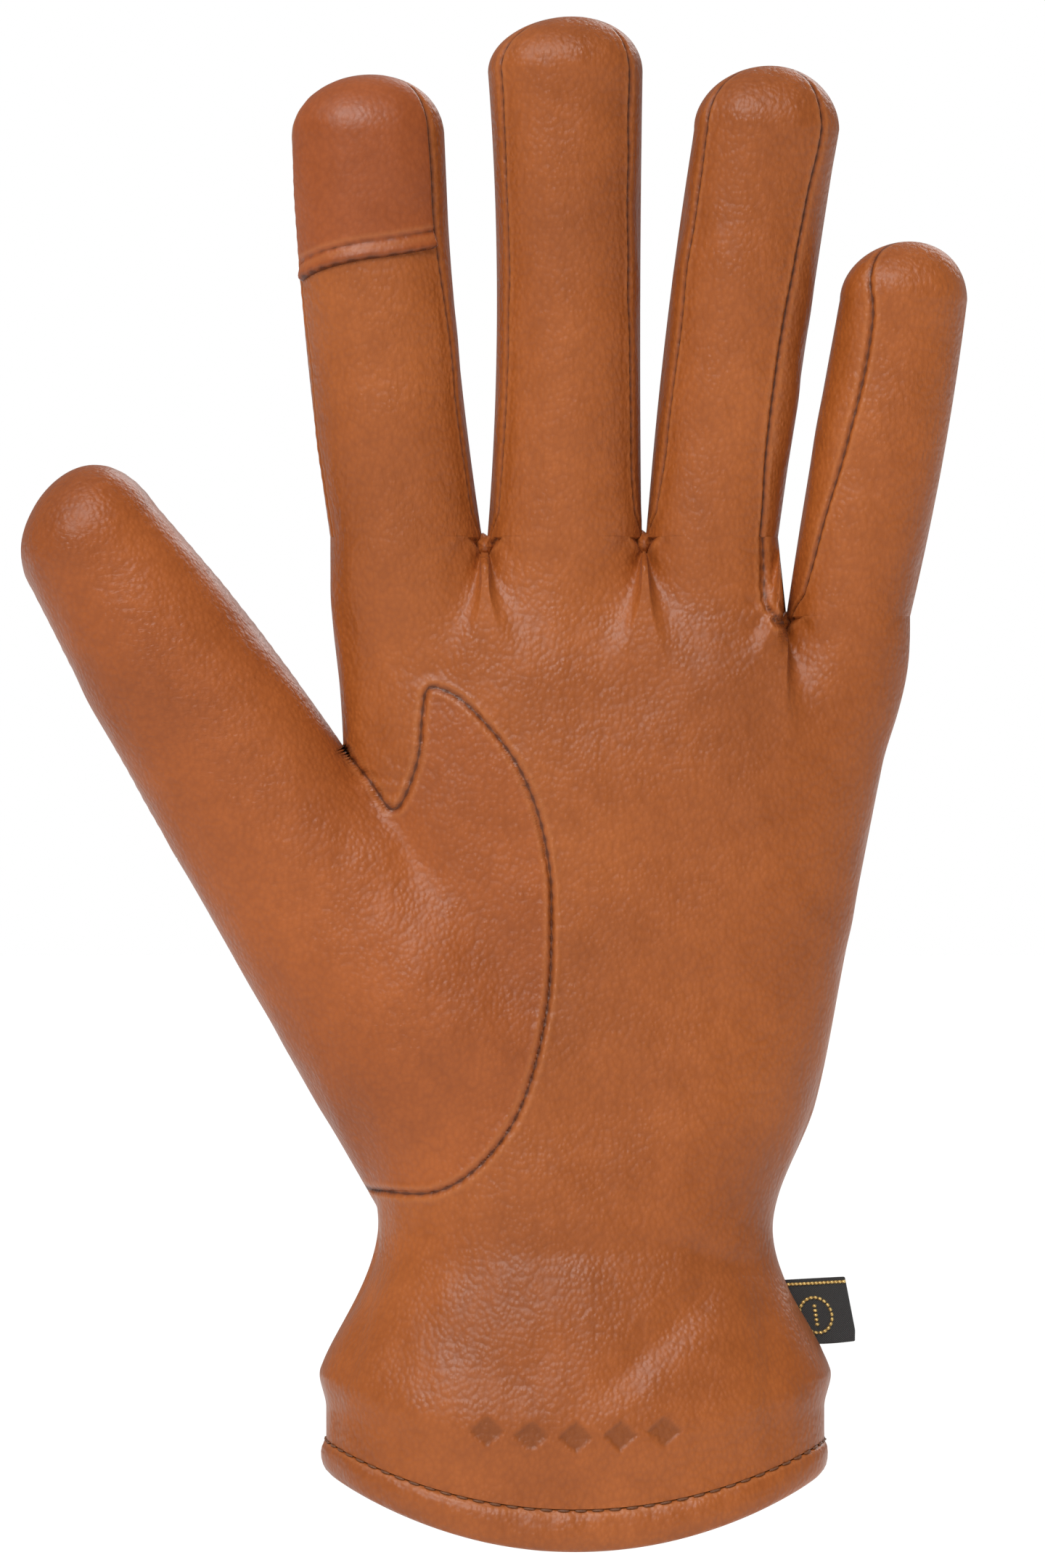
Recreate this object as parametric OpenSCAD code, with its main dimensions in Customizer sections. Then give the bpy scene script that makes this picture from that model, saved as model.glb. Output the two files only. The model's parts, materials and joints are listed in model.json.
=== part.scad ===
// Leather touchscreen glove for the left hand, fingers up (+Z), palm towards -Y, thumb towards -X.
// The origin is the middle of the hand opening, level with the lowest point of the cuff.

/* [Hand] */
// Height of the crotches beside the middle finger
crotch_z = 171.5; // [166:0.5:176]
// Height of the crotch between the ring and little fingers
little_crotch_z = 158; // [154:0.5:162]
// Half the width of the hand at the gathered wrist
wrist_half = 33.7; // [31:0.1:36]
// Height of the gathered wrist
wrist_z = 53; // [48:1:58]
// Half the depth of the wrist, front to back
wrist_depth = 21; // [18:0.5:24]
// Half the depth of the palm under the finger roots
palm_depth = 15; // [13:0.5:17]

/* [Fingers] */
// Height of the index fingertip
index_tip = 250.5; // [246:0.5:256]
// Height of the middle fingertip
middle_tip = 260.4; // [256:0.5:266]
// Height of the ring fingertip
ring_tip = 252; // [248:0.5:258]
// Height of the little fingertip
little_tip = 222; // [219:0.5:226]
// Half the depth of a finger, palm side to back
finger_depth = 10.4; // [9.5:0.1:11]
// Angle between a finger's side and the seam of its side strip
seam_angle = 30; // [24:1:36]

/* [Thumb] */
// Lean of the thumb away from the fingers, in degrees
thumb_lean = 34; // [30:1:38]
// Length of the thumb above its fold line
thumb_length = 65; // [62:0.5:68]
// Half the depth of the thumb at its fold line
thumb_depth = 14; // [12.5:0.5:15]

/* [Cuff] */
// Half the width of the cuff where it is widest
cuff_half = 43.5; // [40:0.5:46]
// Half the depth of the cuff
cuff_depth = 27; // [24:0.5:29]
// Height of the turned hem
hem_h = 6.8; // [5:0.1:9]
// Rise of the cuff's edge from its middle to its sides
hem_rise = 13; // [9:0.5:16]

/* [Layers] */
// Thickness of the leather
leather = 1; // [0.8:0.05:1.2]
// Thickness of the lining
lining = 0.6; // [0.4:0.05:0.8]
// Gap left along a seam
seam_gap = 0.2; // [0.1:0.05:0.3]

/* [Hidden] */
fold_gap = 0.25;          // half the gap between two pieces that fold against each other
panel_steps = 7;          // facets across a finger's panel
squareness = 0.85;        // exponent that squares up a finger's round section
palm_power = 2.5;         // exponent of the palm's flattened section
merge_power = 5;          // sharpness of the run of the thumb into the palm
elastic = 0.6;            // thickness of the wrist elastic
lining_gap = 0.15;        // air between the leather and a finger's lining
palm_lining_in = leather + elastic + 0.1;
root_lining_in = palm_lining_in + 1;
label_z = 45;             // height of the label's upper edge
cap_z = 218;              // where the touch cap starts on the index finger
valley = 5.5;             // half the depth left between two finger roots
quirk_half = valley - palm_lining_in - lining - 0.2;
hem_inset = 1.5;          // thickness of the turned hem, just short of the lining
thumb_gap = 0.55;         // air under the thumb's leather, whose facets are wider
label_edge = 2.2;         // room between the label and the hand's edge
label_height = 10.4;      // length of the label down the cuff
stitch_reach = 30.4;      // how far the hem's stitches run from its middle
stitch_step = 3.8;        // from one stitch to the next
stitch_lift = 1;          // how far a stitch's middle stands off the hem
seam_low = 60.2;          // lower end of the thumb's seam
seam_high = 136.1;        // upper end of the thumb's seam
tip_steps = [0, 28, 52, 72, 90];
thumb_root = [-53.8, 126.4];      // middle of the thumb's fold line, X and Z
root_growth = 0.073;              // how fast the thumb's root widens down its axis
cognac = "#a5562f";
russet = "#94462a";
black = "#1c1a1b";
thread = "#6e3f20";

// A digit: fold height, knuckle height, height where the tip starts to round, tip height,
// middle of the width at those four heights, width at the first three, depth, seams (left, right).
INDEX = [crotch_z, 205, index_tip - 10.5, index_tip, [-28.85, -33.05, -35.4, -34.9],
    [25.9, 25.9, 26], finger_depth, [0, seam_angle]];
MIDDLE = [crotch_z, 207, middle_tip - 9.5, middle_tip, [-1.85, -1.15, -1.7, -0.6],
    [26.3, 24.5, 26.4], finger_depth, [seam_angle, seam_angle]];
RING = [crotch_z, 205, ring_tip - 11, ring_tip, [23.35, 27.35, 32.6, 33.2],
    [22.5, 24.1, 24.6], finger_depth, [seam_angle, seam_angle]];
LITTLE = [little_crotch_z, 185, little_tip - 10, little_tip, [46.6, 51.55, 56.05, 57],
    [21.1, 22.5, 21.7], finger_depth - 0.8, [seam_angle, 0]];
THUMB = [0, 27, thumb_length - 13, thumb_length, [0, 0.6, 0.75, 3.2],
    [34.2, 30.8, 25.5], thumb_depth, [0, 0]];
DIGITS = [INDEX, MIDDLE, RING, LITTLE];

// ---- small functions ----
function mix(a, b, t) = a + (b - a) * t;
function clamp01(t) = min(1, max(0, t));
function ease(a, b, v) = let (t = clamp01((v - a) / (b - a))) t * t * (3 - 2 * t);
function powered(v, p) = sign(v) * pow(abs(v), p);
// The parabola through three stations at heights h and values q.
function through(h, q, z) =
    q[0] * (z - h[1]) * (z - h[2]) / ((h[0] - h[1]) * (h[0] - h[2]))
    + q[1] * (z - h[0]) * (z - h[2]) / ((h[1] - h[0]) * (h[1] - h[2]))
    + q[2] * (z - h[0]) * (z - h[1]) / ((h[2] - h[0]) * (h[2] - h[1]));
// A smooth line through [height, value] keys: level at each end, curved between.
function slope_at(k, i) = i == 0 || i == len(k) - 1 ? 0
    : (k[i + 1][1] - k[i - 1][1]) / (k[i + 1][0] - k[i - 1][0]);
function piece_at(k, i, z) = let (w = k[i + 1][0] - k[i][0], t = (z - k[i][0]) / w)
    (2 * t * t * t - 3 * t * t + 1) * k[i][1] + (t * t * t - 2 * t * t + t) * w * slope_at(k, i)
    + (3 * t * t - 2 * t * t * t) * k[i + 1][1] + (t * t * t - t * t) * w * slope_at(k, i + 1);
function smooth(k, z, i = 0) = z <= k[0][0] ? k[0][1]
    : i >= len(k) - 1 ? k[len(k) - 1][1]
    : z <= k[i + 1][0] ? piece_at(k, i, z) : smooth(k, z, i + 1);

// ---- a shell between two grids of points, rows by columns ----
// The outer grid's rows run away from the wrist; columns run left to right as seen from outside.
function quad(a, b, c, d) = [[a, b, c], [a, c, d]];
function all_quads(list) = [for (q = list) for (t = quad(q[0], q[1], q[2], q[3])) t];
function solid_face(p, f) = norm(cross(p[f[1]] - p[f[0]], p[f[2]] - p[f[0]])) > 0.000001;
module shell(outer, inner, closed = false) {
    rows = len(outer);
    cols = len(outer[0]);
    n = rows * cols;
    points = [for (r = outer) for (p = r) p, for (r = inner) for (p = r) p];
    id = function (i, j) i * cols + (closed ? j % (cols - 1) : j);
    skin = [for (i = [0:rows - 2]) for (j = [0:cols - 2])
        [id(i, j), id(i + 1, j), id(i + 1, j + 1), id(i, j + 1)]];
    back = [for (q = skin) [q[3] + n, q[2] + n, q[1] + n, q[0] + n]];
    low = [for (j = [0:cols - 2]) [id(0, j), id(0, j + 1), id(0, j + 1) + n, id(0, j) + n]];
    high = [for (j = [0:cols - 2])
        [id(rows - 1, j + 1), id(rows - 1, j), id(rows - 1, j) + n, id(rows - 1, j + 1) + n]];
    left = [for (i = [0:rows - 2]) [id(i + 1, 0), id(i, 0), id(i, 0) + n, id(i + 1, 0) + n]];
    right = [for (i = [0:rows - 2])
        [id(i, cols - 1), id(i + 1, cols - 1), id(i + 1, cols - 1) + n, id(i, cols - 1) + n]];
    faces = all_quads(concat(skin, back, low, high, closed ? [] : concat(left, right)));
    polyhedron(points, [for (f = faces) if (solid_face(points, f)) f]);
}

// ---- digits ----
// A point on a digit at height z, at angle a (0 right, 90 palm side), a distance `inset` under its skin.
function digit_middle(d, z) = z < d[2] ? through([d[0], d[1], d[2]], d[4], z)
    : mix(d[4][2], d[4][3], pow((z - d[2]) / (d[3] - d[2]), 2));
function digit_half(d, z) = through([d[0], d[1], d[2]], d[5], min(z, d[2])) / 2;
function digit_depth(d, z) = d[6] * mix(1, 0.93, ease(d[1], d[2], z));
function digit_point(d, z, shrink, a, inset) = [
    digit_middle(d, z) + (digit_half(d, z) - inset) * shrink * powered(cos(a), squareness),
    -(digit_depth(d, z) - inset) * shrink * powered(sin(a), squareness), z];
function tip_height(d, s, inset) = d[2] + (d[3] - inset - d[2]) * sin(s);
// Rows of [height, shrink] for the base part and for the tip part.
function base_rows(d) = [for (t = [0, 0.33, 0.67, 1])
    [mix(d[0] + fold_gap, d[1] - fold_gap, t), 1]];
function level_rows(from, to) = [for (t = [0, 0.5]) [mix(from, to, t), 1]];
function dome_rows(d, inset, last = 4) = [for (i = [0:last])
    [tip_height(d, tip_steps[i], inset), max(0.02, cos(tip_steps[i]))]];
function tip_rows(d, inset, last = 4) =
    concat(level_rows(d[1] + fold_gap, d[2]), dome_rows(d, inset, last));
// Side angles close up towards the rounded tip, so the side strips end in a point.
function side_angle(s, shrink) = s <= 0 ? 0 : s * pow(shrink, 0.8);
// One row of a panel, left to right seen from its own side: 1 is the palm side, -1 the back.
function panel_row(d, row, inset, side) = let (
    from = side_angle(d[7][1], row[1]) + 1,
    to = 180 - side_angle(d[7][0], row[1]) - 1)
    [for (i = [0:panel_steps]) let (t = i / panel_steps)
        digit_point(d, row[0], row[1], side > 0 ? mix(to, from, t) : -mix(from, to, t), inset)];
function strip_row(d, row, inset, which) = let (
    s = side_angle(d[7][which], row[1]) - 1.5,
    mid = which == 1 ? 0 : 180)
    [for (t = [1, 0.33, -0.33, -1]) digit_point(d, row[0], row[1], mid + t * s, inset)];
function ring_row(d, row, inset) = [for (i = [0:16])
    digit_point(d, row[0], row[1], 180 - (i % 16) * 22.5, inset)];

module skin_between(d, outer_rows, inner_rows, side) {
    shell([for (r = outer_rows) panel_row(d, r, 0, side)],
        [for (r = inner_rows) panel_row(d, r, leather, side)]);
}
module base_panel(d, side) skin_between(d, base_rows(d), base_rows(d), side);
module tip_panel(d, side) skin_between(d, tip_rows(d, 0), tip_rows(d, leather), side);
// Which 0 is the left-hand strip, 1 the right-hand one.
module strip(d, outer_rows, inner_rows, which) {
    shell([for (r = outer_rows) strip_row(d, r, 0, which)],
        [for (r = inner_rows) strip_row(d, r, leather, which)]);
}
module base_strip(d, which) strip(d, base_rows(d), base_rows(d), which);
module tip_strip(d, which) strip(d, tip_rows(d, 0, 2), tip_rows(d, leather, 2), which);
function lining_in(d) = leather + (d == THUMB ? thumb_gap : lining_gap);
module tube(d, outer_rows, inner_rows) {
    in = lining_in(d);
    shell([for (r = outer_rows) ring_row(d, r, in)],
        [for (r = inner_rows) ring_row(d, r, in + lining)], closed = true);
}
module base_tube(d) tube(d, base_rows(d), base_rows(d));
module tip_tube(d) {
    in = lining_in(d);
    tube(d, tip_rows(d, in), tip_rows(d, in + lining));
}

// ---- hand ----
// Outline of the hand without its thumb: left and right edge at height z.
LEFT_EDGE = [[14, -cuff_half + 1], [22, -cuff_half], [wrist_z, -wrist_half], [75, -38.5],
    [100, -39.5], [136, -39.6], [crotch_z, -41.8]];
RIGHT_EDGE = [[14, cuff_half - 1], [22, cuff_half], [wrist_z, wrist_half], [75, 41],
    [100, 46], [136, 53], [little_crotch_z, 57.1], [crotch_z, 59.5]];
HALF_DEPTH = [[10, cuff_depth], [22, cuff_depth], [wrist_z, wrist_depth], [90, palm_depth + 3],
    [130, palm_depth + 0.5], [crotch_z, finger_depth + 1]];
// The thumb's own seam: its furthest reach across the palm at each height.
SEAM_EDGE = [[60.5, -30], [66, -15], [76, -9], [92, -5], [108, -4], [125, -10], [131, -22],
    [136, -39.4]];
// The hand's left edge beside the thumb's root, where that tube ends.
function outer_edge(z, inset) = thumb_root[0]
    - (THUMB[5][0] / 2 - inset
        + (z - thumb_root[1]) * (sin(thumb_lean) - root_growth * cos(thumb_lean)))
    / (cos(thumb_lean) + root_growth * sin(thumb_lean));
function palm_left(z) = smooth(LEFT_EDGE, z);
function palm_right(z) = smooth(RIGHT_EDGE, z);
function palm_slab(x, z, inset) = let (
    l = palm_left(z) + inset,
    r = palm_right(z) - inset,
    e = clamp01(abs((2 * x - l - r) / (r - l))))
    (smooth(HALF_DEPTH, z) - inset) * pow(1 - pow(e, palm_power), 1 / palm_power);
// The root of the thumb is a tube that widens and sinks away down its own axis.
function thumb_tube(x, z, inset) = let (
    across = (x - thumb_root[0]) * cos(thumb_lean) + (z - thumb_root[1]) * sin(thumb_lean),
    down = (x - thumb_root[0]) * sin(thumb_lean) - (z - thumb_root[1]) * cos(thumb_lean),
    half = THUMB[5][0] / 2 + root_growth * max(0, down) - inset,
    e = clamp01(abs(across / half)))
    max(0, thumb_depth * mix(1, 1.25, ease(0, 50, down)) * (1 - ease(50, 90, down)) - inset)
    * pow(1 - pow(e, 2 / squareness), squareness / 2);
// Half the depth of the hand at x, z: palm and thumb root run into each other.
function hand_depth(x, z, inset) =
    pow(pow(palm_slab(x, z, inset), merge_power) + pow(thumb_tube(x, z, inset), merge_power),
        1 / merge_power);
// Columns of the hand: five at each finger root and one more at each side, [digit, angle].
function root_angles(i) = i == 0 ? [180, 162, 135, 90, 45, 0]
    : i == 3 ? [180, 135, 90, 45, 18, 0] : [180, 135, 90, 45, 0];
COLUMNS = [for (i = [0:3]) for (a = root_angles(i)) [DIGITS[i], a]];
column_count = len(COLUMNS);
function root_x(d, a, inset) = d[4][0] + (d[5][0] / 2 - inset) * powered(cos(a), squareness);
root_left = root_x(INDEX, 180, 0);
root_right = root_x(LITTLE, 0, 0);
// Height of a level, which dips with the cuff's edge near the bottom.
function hem_height(x) = hem_rise * pow(x / cuff_half, 2);
function level_at(x, z) = z + hem_height(x) * clamp01(1 - z / wrist_z);
// Left end of a level: the thumb's seam beside the thumb, the hand's own edge elsewhere.
function left_end(z, inset) =
    z > seam_low && z < seam_high ? smooth(SEAM_EDGE, z) + seam_gap : palm_left(z) + inset;
// A point of the palm or back: side 1 or -1, level z, column i, `inset` under the skin.
function hand_point(side, z, i, inset) = let (
    c = COLUMNS[i],
    d = c[0],
    top = min(z, d[0]) - (z >= d[0] ? fold_gap : 0),
    left = left_end(top, inset),
    right = palm_right(top) - inset,
    f = (root_x(d, c[1], 0) - root_left) / (root_right - root_left),
    near = ease(d[0] - 26, d[0] - fold_gap, top),
    web = i > 0 && c[1] == 180,
    x = mix(mix(left, right, f), root_x(d, c[1], web ? 0 : inset), near),
    edge = (i == 0 || i == column_count - 1) ? 0 : valley - inset,
    root = max(edge, (d[6] - inset) * powered(sin(c[1]), squareness)),
    y = mix(hand_depth(x, top, inset), root, near))
    [x, -side * (y + seam_gap / 2), level_at(x, top)];
module hand_patch(side, levels, from, to) {
    order = side > 0 ? [0:column_count - 1] : [column_count - 1:-1:0];
    shell([for (z = levels) [for (i = order) hand_point(side, z, i, from)]],
        [for (z = levels) [for (i = order) hand_point(side, z, i, to)]]);
}
cuff_levels = [hem_h + seam_gap, 18, 32, 44, wrist_z - 3, wrist_z, wrist_z + 3, 60];
seam_levels = [60.7, 63, 66, 70, 76, 92, 108, 118, 125, 129, 132, 134, 136];
root_levels = [136.4, 148, little_crotch_z, 166, crotch_z];
leather_levels = concat(cuff_levels, seam_levels, root_levels);
lining_levels = concat([2], cuff_levels, [66, 76, 92, 108, 122, 131], root_levels);
// A point of the thumb's root: v runs up to the fold line, w runs from the outer edge to the seam.
function root_point(side, z, w, inset) = let (
    low = seam_levels[0],
    v = (z - low) / (seam_high - low),
    fold_half = THUMB[5][0] / 2,
    away = [cos(thumb_lean), sin(thumb_lean)],
    up = [-sin(thumb_lean), cos(thumb_lean)],
    end_left = thumb_root - away * (fold_half - inset) - up * fold_gap,
    end_right = thumb_root + away * (fold_half - inset) - up * fold_gap,
    edge_z = mix(low, end_left[1], v),
    l = mix([outer_edge(edge_z, inset), edge_z], end_left, ease(0.75, 1, v)),
    r = mix([smooth(SEAM_EDGE, z) - seam_gap, z], end_right, ease(0.97, 1, v)),
    t = mix(1 - cos(90 * w), (1 - cos(180 * w)) / 2, ease(0.6, 1, v)),
    p = mix(l, r, t))
    [p[0], -side * (hand_depth(p[0], p[1], inset) + seam_gap / 2), p[1]];
module root_patch(side, from, to) {
    steps = side > 0 ? [0:1 / 8:1] : [1:-1 / 8:0];
    levels = [for (z = seam_levels) z < 136 ? z : seam_high];
    shell([for (z = levels) [for (w = steps) root_point(side, z, w, from)]],
        [for (z = levels) [for (w = steps) root_point(side, z, w, to)]]);
}

// ---- pieces of the hand ----
module palm_panel() color(cognac) hand_patch(1, leather_levels, 0, leather);
module back_panel() color(cognac) hand_patch(-1, leather_levels, 0, leather);
module thumb_base_front() color(russet) root_patch(1, 0, leather);
module thumb_base_back() color(russet) root_patch(-1, 0, leather);
module cuff_hem_palm() color(cognac) hand_patch(1, [0, hem_h / 2, hem_h], 0, hem_inset);
module cuff_hem_back() color(cognac) hand_patch(-1, [0, hem_h / 2, hem_h], 0, hem_inset);
// Stitches: short threads that lie on the hem, just under its upper edge.
module hem_stitching() color(thread)
    for (side = [1, -1], x = [-stitch_reach:stitch_step:stitch_reach]) {
        z = hem_h - 0.9;
        y = hand_depth(x, z, 0) + seam_gap / 2;
        translate([x, -side * (y + stitch_lift), level_at(x, z)]) cube([2.6, 0.5, 0.5], center = true);
    }
module wrist_elastic() color(black)
    for (side = [1, -1])
        hand_patch(side, [wrist_z - 3, wrist_z, wrist_z + 3], leather + 0.05, leather + elastic);
module label_tab() color(black)
    translate([0, 0.6, 0]) rotate([90, 0, 0]) linear_extrude(1.2) polygon([
        [palm_right(label_z) + label_edge, label_z], [palm_right(label_z) + 8.6, label_z],
        [palm_right(label_z) + 11.5, label_z - 8], [palm_right(label_z) + 10.6, label_z - 10],
        [palm_right(label_z - label_height) + label_edge, label_z - label_height]]);
module palm_lining() color(black) {
    hand_patch(1, lining_levels, palm_lining_in, palm_lining_in + lining);
    root_patch(1, root_lining_in, root_lining_in + lining);
}
module back_lining() color(black) {
    hand_patch(-1, lining_levels, palm_lining_in, palm_lining_in + lining);
    root_patch(-1, root_lining_in, root_lining_in + lining);
}
// The small web sewn in at the foot of two neighbouring fingers.
module quirk(x, z) color(cognac)
    translate([x, 0, z - fold_gap - 2]) cube([1.4, 2 * quirk_half, 4], center = true);
module index_middle_quirk() quirk((INDEX[4][0] + MIDDLE[4][0] - 0.2) / 2 - 0.1, crotch_z);
module middle_ring_quirk() quirk(11.7, crotch_z);
module ring_little_quirk() quirk(35.2, little_crotch_z);

// ---- pieces of the fingers ----
module index_base_palm() color(cognac) base_panel(INDEX, 1);
module index_base_back() color(cognac) base_panel(INDEX, -1);
module index_base_inner_strip() color(cognac) base_strip(INDEX, 1);
module index_base_lining() color(black) base_tube(INDEX);
module index_tip_palm() color(cognac)
    skin_between(INDEX, level_rows(INDEX[1] + fold_gap, 2 * cap_z - INDEX[1] - fold_gap),
        level_rows(INDEX[1] + fold_gap, 2 * cap_z - INDEX[1] - fold_gap), 1);
module index_touch_cap() color(russet)
    skin_between(INDEX, concat(level_rows(cap_z + seam_gap, INDEX[2]), dome_rows(INDEX, 0)),
        concat(level_rows(cap_z + seam_gap, INDEX[2]), dome_rows(INDEX, leather)), 1);
module index_tip_back() color(cognac) tip_panel(INDEX, -1);
module index_tip_inner_strip() color(cognac) tip_strip(INDEX, 1);
module index_tip_lining() color(black) tip_tube(INDEX);

module middle_base_palm() color(cognac) base_panel(MIDDLE, 1);
module middle_base_back() color(cognac) base_panel(MIDDLE, -1);
module middle_base_index_strip() color(cognac) base_strip(MIDDLE, 0);
module middle_base_ring_strip() color(cognac) base_strip(MIDDLE, 1);
module middle_base_lining() color(black) base_tube(MIDDLE);
module middle_tip_palm() color(cognac) tip_panel(MIDDLE, 1);
module middle_tip_back() color(cognac) tip_panel(MIDDLE, -1);
module middle_tip_index_strip() color(cognac) tip_strip(MIDDLE, 0);
module middle_tip_ring_strip() color(cognac) tip_strip(MIDDLE, 1);
module middle_tip_lining() color(black) tip_tube(MIDDLE);

module ring_base_palm() color(cognac) base_panel(RING, 1);
module ring_base_back() color(cognac) base_panel(RING, -1);
module ring_base_middle_strip() color(cognac) base_strip(RING, 0);
module ring_base_little_strip() color(cognac) base_strip(RING, 1);
module ring_base_lining() color(black) base_tube(RING);
module ring_tip_palm() color(cognac) tip_panel(RING, 1);
module ring_tip_back() color(cognac) tip_panel(RING, -1);
module ring_tip_middle_strip() color(cognac) tip_strip(RING, 0);
module ring_tip_little_strip() color(cognac) tip_strip(RING, 1);
module ring_tip_lining() color(black) tip_tube(RING);

module little_base_palm() color(cognac) base_panel(LITTLE, 1);
module little_base_back() color(cognac) base_panel(LITTLE, -1);
module little_base_ring_strip() color(cognac) base_strip(LITTLE, 0);
module little_base_lining() color(black) base_tube(LITTLE);
module little_tip_palm() color(cognac) tip_panel(LITTLE, 1);
module little_tip_back() color(cognac) tip_panel(LITTLE, -1);
module little_tip_ring_strip() color(cognac) tip_strip(LITTLE, 0);
module little_tip_lining() color(black) tip_tube(LITTLE);

// ---- pieces of the thumb, built upright and then leaned over ----
module leaned() translate([thumb_root[0], 0, thumb_root[1]]) rotate([0, -thumb_lean, 0]) children();
module thumb_mid_front() color(russet) leaned() base_panel(THUMB, 1);
module thumb_mid_back() color(russet) leaned() base_panel(THUMB, -1);
module thumb_mid_lining() color(black) leaned() base_tube(THUMB);
module thumb_tip_front() color(russet) leaned() tip_panel(THUMB, 1);
module thumb_tip_back() color(russet) leaned() tip_panel(THUMB, -1);
module thumb_tip_lining() color(black) leaned() tip_tube(THUMB);

palm_panel();
back_panel();
thumb_base_front();
thumb_base_back();
cuff_hem_palm();
cuff_hem_back();
hem_stitching();
wrist_elastic();
label_tab();
palm_lining();
back_lining();
index_middle_quirk();
middle_ring_quirk();
ring_little_quirk();
index_base_palm();
index_base_back();
index_base_inner_strip();
index_base_lining();
index_tip_palm();
index_touch_cap();
index_tip_back();
index_tip_inner_strip();
index_tip_lining();
middle_base_palm();
middle_base_back();
middle_base_index_strip();
middle_base_ring_strip();
middle_base_lining();
middle_tip_palm();
middle_tip_back();
middle_tip_index_strip();
middle_tip_ring_strip();
middle_tip_lining();
ring_base_palm();
ring_base_back();
ring_base_middle_strip();
ring_base_little_strip();
ring_base_lining();
ring_tip_palm();
ring_tip_back();
ring_tip_middle_strip();
ring_tip_little_strip();
ring_tip_lining();
little_base_palm();
little_base_back();
little_base_ring_strip();
little_base_lining();
little_tip_palm();
little_tip_back();
little_tip_ring_strip();
little_tip_lining();
thumb_mid_front();
thumb_mid_back();
thumb_mid_lining();
thumb_tip_front();
thumb_tip_back();
thumb_tip_lining();
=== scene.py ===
import json
import math
import bpy
import bmesh
import numpy as np
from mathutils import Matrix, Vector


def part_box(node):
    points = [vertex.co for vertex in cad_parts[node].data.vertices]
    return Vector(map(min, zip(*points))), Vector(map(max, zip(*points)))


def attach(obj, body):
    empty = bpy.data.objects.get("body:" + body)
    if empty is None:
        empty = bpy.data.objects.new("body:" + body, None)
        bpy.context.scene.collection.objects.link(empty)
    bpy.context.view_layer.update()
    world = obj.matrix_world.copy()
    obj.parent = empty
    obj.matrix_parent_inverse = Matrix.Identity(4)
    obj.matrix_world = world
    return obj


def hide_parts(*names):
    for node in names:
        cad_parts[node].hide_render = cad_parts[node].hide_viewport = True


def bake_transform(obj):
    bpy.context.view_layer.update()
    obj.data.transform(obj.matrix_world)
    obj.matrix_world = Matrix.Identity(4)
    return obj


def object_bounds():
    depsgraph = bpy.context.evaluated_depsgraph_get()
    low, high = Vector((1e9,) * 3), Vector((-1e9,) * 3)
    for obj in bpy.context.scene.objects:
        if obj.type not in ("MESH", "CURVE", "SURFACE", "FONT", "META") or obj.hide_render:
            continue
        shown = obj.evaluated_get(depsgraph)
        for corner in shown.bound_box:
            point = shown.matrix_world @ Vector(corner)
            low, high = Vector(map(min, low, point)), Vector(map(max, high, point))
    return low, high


# A leather touchscreen glove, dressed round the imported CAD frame. Lengths are in millimetres
# while a surface is worked out, and become metres when it is put into a mesh.
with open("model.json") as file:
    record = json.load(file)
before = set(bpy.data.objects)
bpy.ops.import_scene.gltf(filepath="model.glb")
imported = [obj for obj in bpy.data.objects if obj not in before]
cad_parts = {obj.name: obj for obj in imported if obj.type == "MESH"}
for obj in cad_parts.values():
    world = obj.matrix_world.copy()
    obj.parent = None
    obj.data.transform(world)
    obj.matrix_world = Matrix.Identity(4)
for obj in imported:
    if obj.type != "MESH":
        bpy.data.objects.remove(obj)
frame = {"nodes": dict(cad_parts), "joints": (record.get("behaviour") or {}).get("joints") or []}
cadLow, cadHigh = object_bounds()
joints = {j["name"]: j for j in frame["joints"]}
mm = 0.001
print("frame loaded:", len(frame["nodes"]), "nodes")


def highOf(node):  # the upper corner of a node's box
    return np.array(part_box(node)[1]) / mm


def foldOf(name):  # a point on a joint's axis
    return np.array(joints[name]["pos_m"]) / mm


# What shapes the hand. Heights come from the frame's folds and boxes.
hand = {
    "crotch": foldOf("middle_base_fold")[2],
    "littleCrotch": foldOf("little_base_fold")[2],
    "wristHeight": 53.0,
    "wristHalf": 33.7,
    "wristDepth": 21.0,
    "palmDepth": 15.0,
    "cuffHalf": 43.5,
    "cuffDepth": 27.0,
    "hemHeight": 6.8,
    "hemRise": 13.0,
    "square": 0.85,      # squares up a round section
    "palmPower": 2.5,    # flattens the palm's section
    "merge": 5.0,        # how sharply the thumb runs into the palm
    "thumbLength": 65.0,
    "gather": 26.0,      # how far below the folds the palm begins to part into fingers
    "dive": 5.5,         # the same between two fingers
}

thumbLean = math.acos(joints["thumb_base_fold"]["axis"][0])
thumbRoot = foldOf("thumb_base_fold")[[0, 2]]


# One entry per digit: heights of the fold, the knuckle, the start of the rounded end and the tip,
# the middle of the width at those four, the width at the first three, and half the depth.
def digitOf(name, roundLength, middles, widths, depth):
    base = foldOf(name + "_base_fold")
    knuckle = foldOf(name + "_knuckle_fold")
    if name == "thumb":
        heights = [0.0, float(np.hypot(*(knuckle - base)[[0, 2]])),
                   hand["thumbLength"] - roundLength, hand["thumbLength"]]
    else:
        tip = highOf(name + "_tip_back")[2]
        heights = [base[2], knuckle[2], tip - roundLength, tip]
    return {"name": name, "heights": heights, "middles": middles, "widths": widths,
            "depth": depth}


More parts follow.
